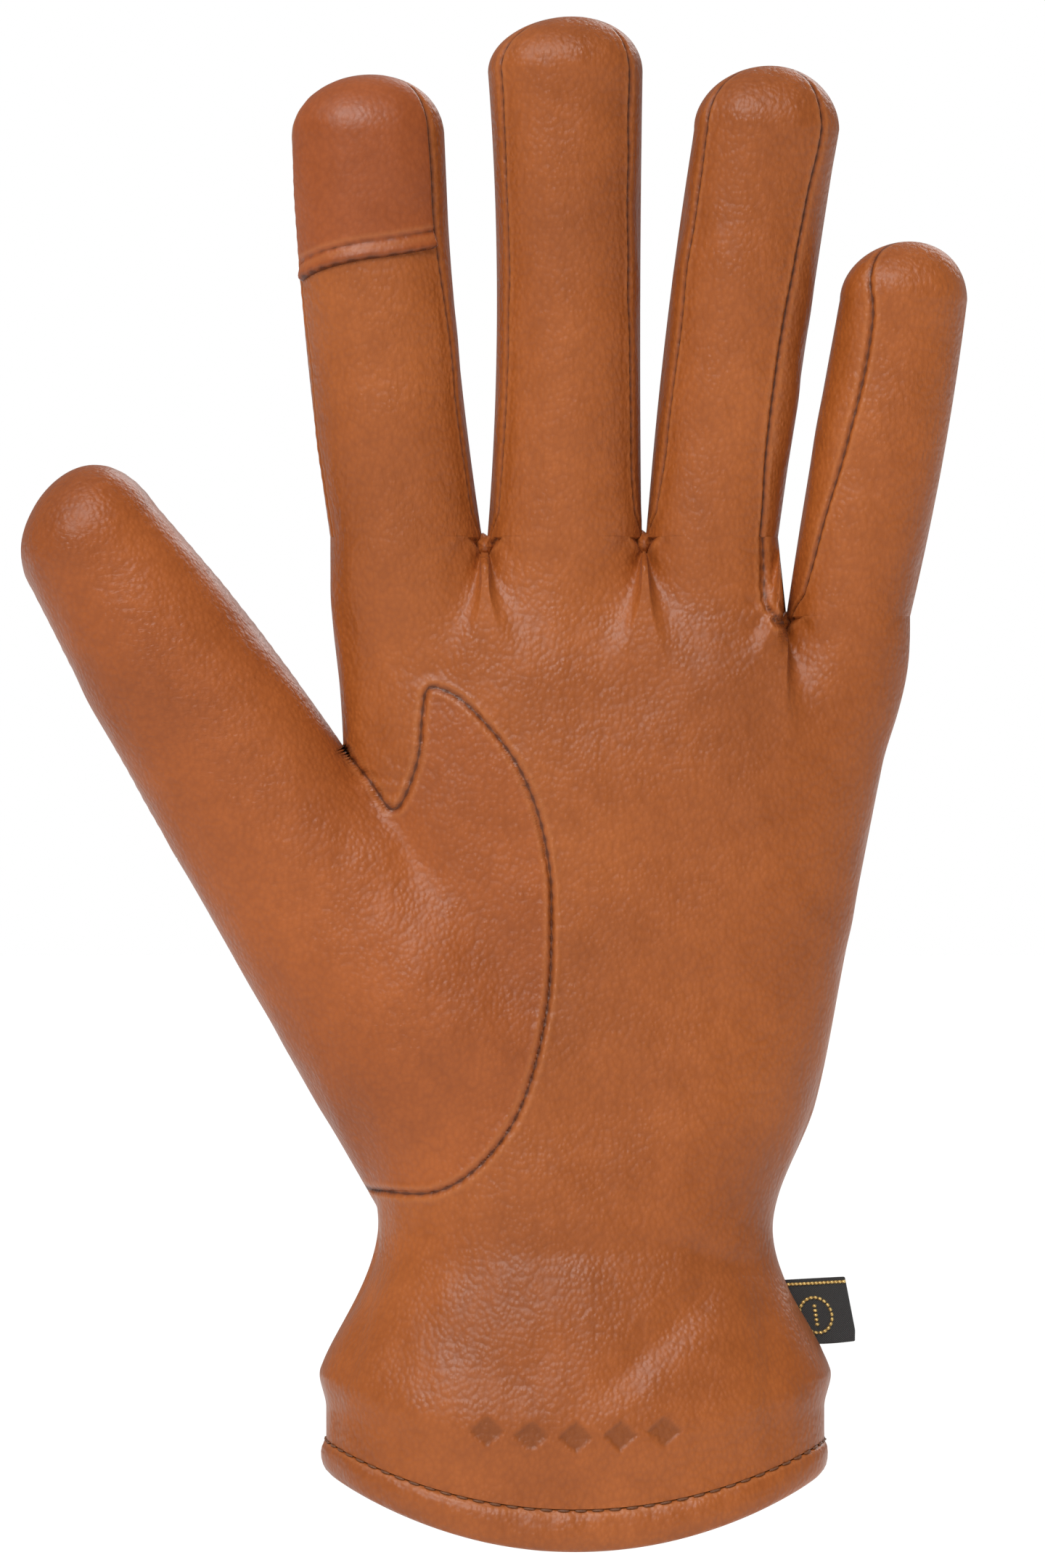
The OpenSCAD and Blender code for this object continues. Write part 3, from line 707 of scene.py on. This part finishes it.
# The touch cap on the index finger: a patch of the finger's own skin that stands proud between
# its seams, with a slanting folded lower edge, a stitch line above it, and edges tucked in.
def makeTouchCap():
    d = digits[0]
    rowUp = np.concatenate([[0, 0.12, 0.3, 0.6, 1.0, 1.5], np.arange(2.0, 26, 0.5)])
    s = np.linspace(0, math.pi / 2, 26)[1:]
    t = np.linspace(0, 1, cap["columns"])[None]
    edge = mix(cap["edgeLeft"], cap["edgeRight"], t) + cap["edgeBow"] * np.sin(math.pi * t)
    level = edge + (d["heights"][2] - edge) * (rowUp / rowUp[-1])[:, None]
    dome = d["heights"][2] + (d["heights"][3] - d["heights"][2]) * np.sin(s)[:, None] + 0 * t
    z = np.vstack([level, dome])
    shrink = np.concatenate([np.ones(len(rowUp)), np.cos(s)])[:, None] + 0 * t
    close = shrink ** 0.5
    right = smoothKeys(fingerSeams["index"]["right"], z) * close
    left = 180 + (fingerSeams["index"]["leftOne"] - 180) * close
    a = mix(left, right, t)
    up = z - edge
    girth = cap["girth"] * np.maximum(shrink, 0.02)
    side = np.minimum(np.radians(left - a), np.radians(a - right)) * girth
    flat = digitSkin(d, z, shrink, a, 0)
    fold = bump(up, cap["hemAt"], cap["hemAt"]) * ease(0, 0.3, up)
    lift = cap["proud"] * ease(0, 0.5, up) + cap["hemLift"] * fold
    beat = 0.5 + 0.5 * np.cos(2 * math.pi * t * cap["stitches"])
    lift -= bump(up, cap["stitchAbove"], cap["stitchWidth"]) * cap["stitchDepth"] * (1 + beat)
    lift = mix(-cap["sideTuck"], lift, ease(0, 1.5, side)) * ease(-0.01, 0.35, shrink)
    lift = np.where(up <= 0.001, -cap["edgeTuck"], lift)
    p = digitSkin(d, z, shrink, a, softWaves(flat) - lift)
    stitchLine = np.abs(up - cap["stitchAbove"]) + 0.16   # paler than a seam
    # darker towards the folded lower edge: a painted shadow under the fold; the side seams and the
    # stitch line are the cap's dark joints
    away = np.minimum(np.minimum(stitchLine, side), 0.45 * up)
    marks = {"seam": away, "run": seam["pitch"] * cap["stitches"] * t + 0 * up,
             "press": 0 * up, "grain": cap["grain"] + 0 * up}
    piece = gridPiece("indexTouchCap", p, marks)
    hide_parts("index_touch_cap")
    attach(piece, "index_tip")
    return piece


touchCap = makeTouchCap()
print("touch cap made")

hem = {"heights": [7.5, 7.2, 6.8, 6.2, 5.2, 3.8, 2.4, 1.2, 0.4, 0.0, 0.1, 0.7, 2.0, 4.0, 6.5],
       "insets": [0.9, 0.4, 0.0, -0.35, -0.65, -0.8, -0.75, -0.5, -0.05, 0.5, 0.9, 1.25,
                  1.45, 1.6, 1.7],
       "rows": 43, "seamHeight": 7.4, "ripple": 0.08, "rippleLength": 7,
       "tuck": 0.05, "tuckLength": 5.8, "sideFade": 4, "grain": 0.25,
       "stitchHeight": 6.95, "stitchStep": 2.9, "stitchLength": 2.1, "stitchThick": 0.42}


# The rolled hem: the skin turns out over a soft bulge, round under the edge and up inside. The
# bulge ripples, and flattens where the two halves meet at the sides.
def makeHem(side, name, node):
    keys = np.arange(len(hem["heights"]))
    rows = np.linspace(0, keys[-1], hem["rows"])
    heights = np.interp(rows, keys, hem["heights"])
    insets = np.interp(rows, keys, hem["insets"])[:, None]

    def press(p, z, a):
        ripple = hem["ripple"] * waves(p, hem["rippleLength"], 9) \
            + hem["tuck"] * np.sin(p[..., 0] * 2 * math.pi / hem["tuckLength"])
        flat = ease(0, hem["sideFade"], np.abs(p[..., 1]))
        return np.where(insets < 0, (insets + ripple) * flat, insets) + softWaves(p)

    p, z = handSkin(side, heights, palm["perDigit"], press)
    marks = {"seam": z - hem["seamHeight"], "run": p[..., 0], "press": 0 * z,
             "grain": hem["grain"] + 0 * z}
    piece = gridPiece(name, p, marks, flip=side > 0)
    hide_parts(node)
    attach(piece, "hand")
    return piece


leatherPieces += [makeHem(1, "palmHem", "cuff_hem_palm"),
                  makeHem(-1, "backHem", "cuff_hem_back")]


# Stitches laid along the groove over the hem, at equal steps of the way round.
def makeHemStitches():
    places, rights, ups = [], [], []
    for side in (1, -1):
        line, z = handSkin(side, np.array([hem["stitchHeight"]]), 60,
                           lambda p, z, a: softWaves(p) - 0.12)
        line = line[0]
        run = np.concatenate([[0], np.cumsum(np.linalg.norm(np.diff(line, axis=0), axis=1))])
        at = np.arange(2.0, run[-1] - 1.5, hem["stitchStep"])
        spot = np.stack([np.interp(at, run, line[:, k]) for k in range(3)], axis=-1)
        ahead = np.stack([np.interp(at + 0.5, run, line[:, k]) for k in range(3)], axis=-1)
        right = ahead - spot
        right /= np.linalg.norm(right, axis=1)[:, None]
        out = np.cross(right, [0, 0, 1]) * side
        out /= np.linalg.norm(out, axis=1)[:, None]
        places.append(spot + out * 0.05)
        rights.append(right)
        ups.append(out)
    place, right, up = (np.vstack(v) for v in (places, rights, ups))
    shape = stitchShape(hem["stitchLength"], hem["stitchThick"])
    piece = scatterPiece("hemStitches", shape, place, right, np.cross(up, right), up)
    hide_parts("hem_stitching")
    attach(piece, "hand")
    return piece


hemStitches = makeHemStitches()


inner = {"perDigit": 16, "liningInset": 2.2, "liningStep": 2.2, "liningFoot": 1.2,
         "belowCrotch": 13, "elasticInset": 1.2, "elasticHalf": 3.2, "elasticRows": 14}


# The lining of the hand and the elastic at the wrist follow the leather, further in.
def makeInner(side, name, nodes, heights, depth, pressOf):
    p, z = handSkin(side, heights, inner["perDigit"],
                    lambda p, z, a: depth + pressOf(p, z, a))
    piece = gridPiece(name, p, flip=side < 0)
    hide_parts(*nodes)
    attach(piece, "hand")
    return piece


liningLevels = np.arange(inner["liningFoot"], hand["littleCrotch"] - inner["belowCrotch"],
                         inner["liningStep"])
liningPieces += [makeInner(side, name + "Lining", [name + "_lining"], liningLevels,
                           inner["liningInset"], pressOf)
                 for side, name, pressOf in ((1, "palm", palmInset), (-1, "back", backInset))]
elasticLevels = np.linspace(hand["wristHeight"] - inner["elasticHalf"],
                            hand["wristHeight"] + inner["elasticHalf"], inner["elasticRows"])
elastics = [makeInner(side, "wristElastic" + name, ["wrist_elastic"], elasticLevels,
                      inner["elasticInset"], pressOf)
            for side, name, pressOf in ((-1, "Back", backInset), (1, "Palm", palmInset))]
print("hem, lining and elastic made")

label = {"top": 44.7, "height": 10.4, "length": 11.8, "thick": 0.9, "curl": 1.1,
         "ringRadius": 2.8, "ringStitches": 22, "lineStitches": 17, "barStitches": 5,
         "stitchLength": 0.80, "stitchThick": 0.58}


# The label's flat shape: u runs from the wrist outwards and v from the upper edge down, both 0 to
# 1. The end slants, the lower edge sags by half a sine, and the tab curls by a sine of both.
def labelPoint(u, v):
    start = smoothKeys(rightKeys, np.full_like(v, 43.0)) - 1.6 + 1.3 * v
    skew = 3.0 * v - 1.4 * ease(0.8, 1, v)
    x = start + u * (label["length"] + 0.25 * skew)
    z = label["top"] - v * label["height"] + 0.6 * u * (1 - v) - 0.5 * np.sin(math.pi * u) * v
    y = -0.4 + label["curl"] * np.sin(2.2 * u + 0.6 * v) * u
    return np.stack([x, y, z], axis=-1)


# The woven label sewn into the side of the wrist: the flat shape given a thickness, with a dotted
# gold line under its upper edge and a plain ring of gold stitches round a short bar.
def makeLabel():
    u, v = np.meshgrid(np.linspace(0, 1, 34), np.linspace(0, 1, 30))
    piece = gridPiece("labelTab", labelPoint(u, v), {"across": u, "down": v}, flip=True)
    wall = piece.modifiers.new("wall", "SOLIDIFY")
    wall.thickness = label["thick"] * mm
    wall.offset = -1
    soften = piece.modifiers.new("edge", "BEVEL")
    soften.width = 0.25 * mm
    soften.segments = 2
    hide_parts("label_tab")
    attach(piece, "hand")
    rowCount, barCount = label["lineStitches"], label["barStitches"]
    turn = np.linspace(0, 2 * math.pi, label["ringStitches"], endpoint=False)
    ringU = 0.50 + label["ringRadius"] / 12.5 * np.cos(turn)
    ringV = 0.56 + label["ringRadius"] / label["height"] * np.sin(turn)
    us = np.concatenate([np.linspace(0.06, 0.97, rowCount), ringU, np.full(barCount, 0.50)])
    vs = np.concatenate([np.full(rowCount, 0.075), ringV, np.linspace(0.42, 0.70, barCount)])
    spot = labelPoint(us, vs)
    along = labelPoint(us + 0.01, vs) - spot
    ring = slice(rowCount, rowCount + len(turn))
    along[ring] = labelPoint(ringU - 0.02 * np.sin(turn), ringV + 0.02 * np.cos(turn)) - spot[ring]
    along /= np.linalg.norm(along, axis=1)[:, None]
    out = np.cross(labelPoint(us + 0.01, vs) - spot, spot - labelPoint(us, vs + 0.01))
    out /= -np.linalg.norm(out, axis=1)[:, None]
    out *= np.sign(-out[:, 1:2])
    shape = stitchShape(label["stitchLength"], label["stitchThick"])
    gold = scatterPiece("labelGoldThread", shape, spot + out * 0.12, along,
                        np.cross(out, along), out)
    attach(gold, "hand")
    return piece, gold


labelTab, labelGold = makeLabel()


web = {"halfWidth": 1.9, "halfHeight": 2.4, "halfDepths": [5.6, 5.6, 5.2], "drop": 1.3,
       "puckers": 7, "pucker": 0.10, "grain": 0.6}


# The web at the foot of two fingers: a long ellipsoid front to back, puckered by a cosine round
# its girth.
def makeQuirk(name, node, kx, kz, depth):
    v = np.linspace(0, math.pi, 30)[:, None]
    u = np.linspace(0, 2 * math.pi, 48, endpoint=False)[None]
    pucker = 1 + web["pucker"] * np.cos(web["puckers"] * u) * np.sin(v)
    x = kx + web["halfWidth"] * np.sin(v) * np.cos(u) * pucker
    y = -depth * np.cos(v) + 0 * u
    z = kz - web["drop"] + web["halfHeight"] * np.sin(v) * np.sin(u) * pucker
    p = np.stack([x, y, z], axis=-1)
    away = 0.25 + 1.2 * np.abs(np.sin(web["puckers"] / 2 * u)) * np.sin(v)
    marks = {"seam": away, "run": 2 * y, "press": 0 * x, "grain": web["grain"] + 0 * x}
    piece = gridPiece(name, p, marks, closed=True)
    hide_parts(node)
    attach(piece, "hand")
    return piece


for one, other, (kx, kz), depth in zip(digits, digits[1:], palm["knots"], web["halfDepths"]):
    a, b = one["name"], other["name"]
    leatherPieces.append(makeQuirk(a + b.title() + "Quirk", a + "_" + b + "_quirk", kx, kz, depth))
print("label and webs made")


# Fills a node's inputs, each with another node's output, or with a number or a list.
def fill(tree, node, inputs):
    for key, value in inputs.items():
        if isinstance(value, bpy.types.NodeSocket):
            tree.links.new(value, node.inputs[key])
        else:
            node.inputs[key].default_value = value


def addNode(tree, kind, inputs):
    node = tree.nodes.new("ShaderNode" + kind)
    fill(tree, node, inputs)
    return node


def newLook(name):
    look = bpy.data.materials.new(name)
    look.use_nodes = True
    return look, look.node_tree, look.node_tree.nodes["Principled BSDF"]


def markOn(tree, name, output="Fac"):
    mark = addNode(tree, "Attribute", {})
    mark.attribute_name = name
    return mark.outputs[output]


# The piece's own rest place, in units of size millimetres, turned and stretched along each axis.
def placeOn(tree, size, stretch, turn):
    scale = [1000 * s / size for s in stretch]
    return addNode(tree, "Mapping", {"Vector": markOn(tree, "rest", "Vector"), "Scale": scale,
                                     "Rotation": (0, turn, 0)}).outputs["Vector"]


def noiseOn(tree, size, stretch=(1, 1, 1), detail=3.0, turn=0.0, warp=0.0):
    place = placeOn(tree, size, stretch, turn)
    return addNode(tree, "TexNoise", {"Vector": place, "Scale": 1.0, "Detail": detail,
                                      "Distortion": warp}).outputs["Fac"]


def cellsOn(tree, size, stretch=(1, 1, 1), turn=0.0):  # pebbles of about that size
    cells = addNode(tree, "TexVoronoi", {"Vector": placeOn(tree, size, stretch, turn)})
    cells.feature = "SMOOTH_F1"
    fill(tree, cells, {"Scale": 1.0, "Smoothness": 0.6})
    return cells.outputs["Distance"]


def mathOn(tree, kind, *values):
    m = addNode(tree, "Math", dict(enumerate(values)))
    m.operation = kind
    return m.outputs[0]


def rampOf(tree, value, stops):
    ramp = addNode(tree, "ValToRGB", {"Fac": value})
    elements = ramp.color_ramp.elements
    for end in (0, -1):
        elements[end].position = stops[end][0]
        elements[end].color = (*stops[end][1], 1)
    for at, colour in stops[1:-1]:
        elements.new(at).color = (*colour, 1)
    return ramp.outputs["Color"]


def scaled(tree, value, low, high, fromLow=0.0, fromHigh=1.0):
    return addNode(tree, "MapRange", {"Value": value, "From Min": fromLow, "From Max": fromHigh,
                                      "To Min": low, "To Max": high}).outputs["Result"]


# Mixes two colours, or multiplies, by a factor that is a link or a number.
def blendColours(tree, first, second, factor, kind="MIX"):
    m = addNode(tree, "Mix", {})
    m.data_type = "RGBA"
    m.blend_type = kind
    if isinstance(second, tuple):
        second = (*second, 1)
    fill(tree, m, {6: first, 7: second, 0: factor})
    return m.outputs[2]


def pressedBy(tree, height, strength, distance, **under):  # under may hold the Normal below
    return addNode(tree, "Bump", {"Height": height, "Strength": strength, "Distance": distance,
                                  **under}).outputs["Normal"]


leather = {
    "dark": (0.285, 0.071, 0.011), "mid": (0.348, 0.089, 0.014), "light": (0.410, 0.111, 0.020),
    # the seams' dark joints, then the lighter colour of their raised ridges: a painted highlight
    # with some wear
    "seamDark": (0.078, 0.018, 0.005), "wearAndHighlight": (0.50, 0.17, 0.05),
    "roughLow": 0.38, "roughHigh": 0.50,
    "pebble": 0.80, "wrinkle": 0.85, "pore": 0.45,     # sizes in millimetres
    "pebbleDepth": 0.00026, "wrinkleDepth": 0.00026, "poreDepth": 0.00008,   # in metres
    "specular": 0.31, "coat": 0.08, "coatRough": 0.34, "sheen": 0.02, "sheenRough": 0.5,
}


# Leather: three tones by a wide and a narrow noise, darker in the seams and a touch lighter on
# their ridges, a painted highlight with some wear; pebbles and long fine wrinkles press the
# surface; the wrinkles run along `turn`.
def leatherLook(name, tint, wrinkleTurn, wrinkleStretch, grainDepth):
    look, tree, shader = newLook(name)
    wide = noiseOn(tree, 34, detail=2.0)
    narrow = noiseOn(tree, 5, detail=5.0, warp=0.3)
    tones = [tuple(c * t for c, t in zip(leather[k], tint)) for k in ("dark", "mid", "light")]
    base = rampOf(tree, wide, [(0.25, tones[0]), (0.5, tones[1]), (0.78, tones[2])])
    fine = rampOf(tree, narrow, [(0.3, (0.86, 0.84, 0.82)), (0.7, (1.0, 1.0, 1.0))])
    colour = blendColours(tree, base, fine, 0.8, "MULTIPLY")
    cells = cellsOn(tree, leather["pebble"], (1, 1, 0.8), wrinkleTurn)
    # the hollows between the pebbles are painted darker: painted shade in the grain
    pit = rampOf(tree, cells, [(0.25, (1.0, 1.0, 1.0)), (0.75, (0.80, 0.76, 0.72))])
    colour = blendColours(tree, colour, pit, 0.55, "MULTIPLY")
    away = mathOn(tree, "ABSOLUTE", markOn(tree, "seam"))
    reach = scaled(tree, away, 0.0, 1.0, 0.0, 4.0)
    # the raised ridge beside each seam is painted lighter: a painted highlight, with some wear
    ridge = rampOf(tree, reach, [(0.12, (0, 0, 0)), (0.24, (0.28, 0.28, 0.28)),
                                 (0.42, (0, 0, 0))])
    colour = blendColours(tree, colour, leather["wearAndHighlight"], ridge)
    stamped = scaled(tree, markOn(tree, "press"), 0.0, 0.45)
    colour = blendColours(tree, colour, tuple(c * 0.35 for c in leather["mid"]), stamped)
    turns = 2 * math.pi / seam["pitch"]
    run = scaled(tree, markOn(tree, "run"), 0.0, 1000 * turns, 0.0, 1000.0)
    holes = scaled(tree, mathOn(tree, "SINE", run), 0.075, 0.035, -1.0, 1.0)
    dark = rampOf(tree, mathOn(tree, "ADD", reach, holes),
                  [(0.080, (0.88, 0.88, 0.88)), (0.11, (0.42, 0.42, 0.42)), (0.19, (0, 0, 0))])
    wrinkles = noiseOn(tree, leather["wrinkle"], wrinkleStretch, 3.0, wrinkleTurn, 0.5)
    strong = scaled(tree, noiseOn(tree, 22, detail=1.0), 0.35, 1.0, 0.38, 0.62)
    for share in (strong, markOn(tree, "grain")):
        wrinkles = mathOn(tree, "MULTIPLY", wrinkles, share)
    pores = noiseOn(tree, leather["pore"], detail=2.0)
    n = pressedBy(tree, wrinkles, 0.80, leather["wrinkleDepth"] * grainDepth)
    n = pressedBy(tree, cells, 0.60, -leather["pebbleDepth"] * grainDepth, Normal=n)
    fill(tree, shader, {
        "Base Color": blendColours(tree, colour, leather["seamDark"], dark),
        "Roughness": scaled(tree, narrow, leather["roughLow"], leather["roughHigh"], 0.3, 0.7),
        "Normal": pressedBy(tree, pores, 0.35, leather["poreDepth"], Normal=n),
        "Specular IOR Level": leather["specular"],
        "Coat Weight": leather["coat"], "Coat Roughness": leather["coatRough"],
        "Sheen Weight": leather["sheen"], "Sheen Roughness": leather["sheenRough"],
    })
    return look


# Knitted lining: fine ribs both ways over near black, with a soft sheen.
def liningLook():
    look, tree, shader = newLook("liningKnit")
    fuzz = noiseOn(tree, 1.2, (1, 1, 0.4), 4.0)
    colour = rampOf(tree, fuzz, [(0.3, (0.006, 0.006, 0.007)), (0.75, (0.03, 0.028, 0.03))])
    ribs = pressedBy(tree, cellsOn(tree, 0.7, (1, 1, 0.5)), 0.8, -0.0003)
    fill(tree, shader, {"Base Color": colour, "Roughness": scaled(tree, fuzz, 0.75, 0.95),
                        "Normal": pressedBy(tree, fuzz, 0.5, 0.0003, Normal=ribs),
                        "Sheen Weight": 0.25})
    return look


# Woven label: two crossed rows of waves make the weave, near black.
def labelLook():
    look, tree, shader = newLook("labelWeave")
    rows = [mathOn(tree, "SINE", scaled(tree, markOn(tree, mark), 0.0, 2 * math.pi * rate))
            for mark, rate in (("across", 34), ("down", 30))]
    cross = mathOn(tree, "MULTIPLY", *rows)
    colour = rampOf(tree, scaled(tree, cross, 0.0, 1.0, -1.0, 1.0),
                    [(0.2, (0.004, 0.004, 0.005)), (0.9, (0.028, 0.026, 0.026))])
    fill(tree, shader, {"Base Color": colour, "Normal": pressedBy(tree, cross, 0.5, 0.00012),
                        "Roughness": 0.62, "Sheen Weight": 0.15})
    return look


# Thread: two tones by a stretched noise, pressed by the twist of its strands.
def threadLook(name, dark, light, rough, metal):
    look, tree, shader = newLook(name)
    strands = noiseOn(tree, 0.35, (1, 1, 2.5), 3.0, 0.7)
    fill(tree, shader, {"Base Color": rampOf(tree, strands, [(0.3, dark), (0.7, light)]),
                        "Roughness": scaled(tree, strands, rough - 0.08, rough + 0.08),
                        "Normal": pressedBy(tree, strands, 0.6, 0.0001), "Metallic": metal})
    return look


def dress(pieces, look):
    for piece in pieces:
        piece.data.materials.clear()
        piece.data.materials.append(look)


dress(leatherPieces, leatherLook("cognacLeather", (1, 1, 1), 0.0, (1, 1, 0.35), 1.0))
dress(thumbPieces, leatherLook("thumbLeather", (0.97, 0.92, 0.90), -thumbLean, (0.5, 1, 1), 1.0))
dress([touchCap], leatherLook("touchLeather", (0.93, 0.84, 1.05), 0.0, (1, 1, 0.8), 0.5))
dress(liningPieces, liningLook())
dress(elastics, threadLook("elasticBand", (0.006, 0.006, 0.007), (0.03, 0.03, 0.032), 0.7, 0.0))
dress([hemStitches], threadLook("hemThread", (0.09, 0.028, 0.009), (0.2, 0.07, 0.022), 0.55, 0.0))
dress([labelTab], labelLook())
dress([labelGold], threadLook("goldThread", (0.5, 0.32, 0.09), (0.85, 0.62, 0.25), 0.36, 0.6))
print("materials made")

studio = {
    "floorDrop": 0.12, "floorSize": 30.0, "floorTone": 0.86, "floorGlow": 0.2,
    "backdrop": 1.0, "worldStrength": 0.30,
    "lights": [("keyLight", (-0.34, -1.10, 0.95), 0.42, 1.95, (1.0, 0.985, 0.96)),
               ("topLight", (-0.50, -0.45, 1.00), 0.80, 0.60, (1.0, 1.0, 1.0)),
               ("rearLight", (0.55, 1.10, 0.80), 0.60, 0.90, (1.0, 1.0, 1.0))],
    "lens": 269.0, "sensorWidth": 36.0, "cameraPlace": (-0.009, -2.0, 0.1294),
}


def pointAt(thing, target):
    away = [t - s for t, s in zip(target, thing.location)]
    flat = math.hypot(away[0], away[1])
    thing.rotation_euler = (math.pi / 2 + math.atan2(away[2], flat), 0,
                            math.atan2(away[1], away[0]) - math.pi / 2)


def makeStudio():
    s = studio["floorSize"] / 2
    z = cadLow[2] - studio["floorDrop"]
    mesh = bpy.data.meshes.new("studioFloor")
    mesh.from_pydata([(-s, -s, z), (s, -s, z), (s, s, z), (-s, s, z)], [], [(0, 1, 2, 3)])
    floor = addThing("studioFloor", mesh)
    look, tree, shader = newLook("studioPaper")
    tone = studio["floorTone"]
    fill(tree, shader, {"Base Color": (tone, tone, tone, 1), "Roughness": 0.9,
                        "Emission Color": (1, 1, 1, 1), "Emission Strength": studio["floorGlow"]})
    mesh.materials.append(look)
    world = bpy.data.worlds.new("studioWorld")   # pale to look at, dimmer as a light
    world.use_nodes = True
    tree = world.node_tree
    seen = addNode(tree, "LightPath", {}).outputs["Is Camera Ray"]
    power = scaled(tree, seen, studio["worldStrength"], studio["backdrop"])
    fill(tree, tree.nodes["Background"], {"Color": (1, 1, 1, 1), "Strength": power})
    bpy.context.scene.world = world
    for name, place, spread, power, colour in studio["lights"]:   # far, wide and soft
        data = bpy.data.lights.new(name, "SUN")
        data.angle = spread
        data.energy = power
        data.color = colour
        lamp = addThing(name, data)
        lamp.location = place
        pointAt(lamp, (0, 0, 0))


makeStudio()
bpy.context.scene.view_settings.view_transform = "Standard"
cameraData = bpy.data.cameras.new("camera")
cameraData.lens = studio["lens"]
cameraData.sensor_width = studio["sensorWidth"]
camera = addThing("camera", cameraData)
camera.location = studio["cameraPlace"]
camera.rotation_euler = (math.pi / 2, 0, 0)
bpy.context.scene.camera = camera
print("studio and camera set")
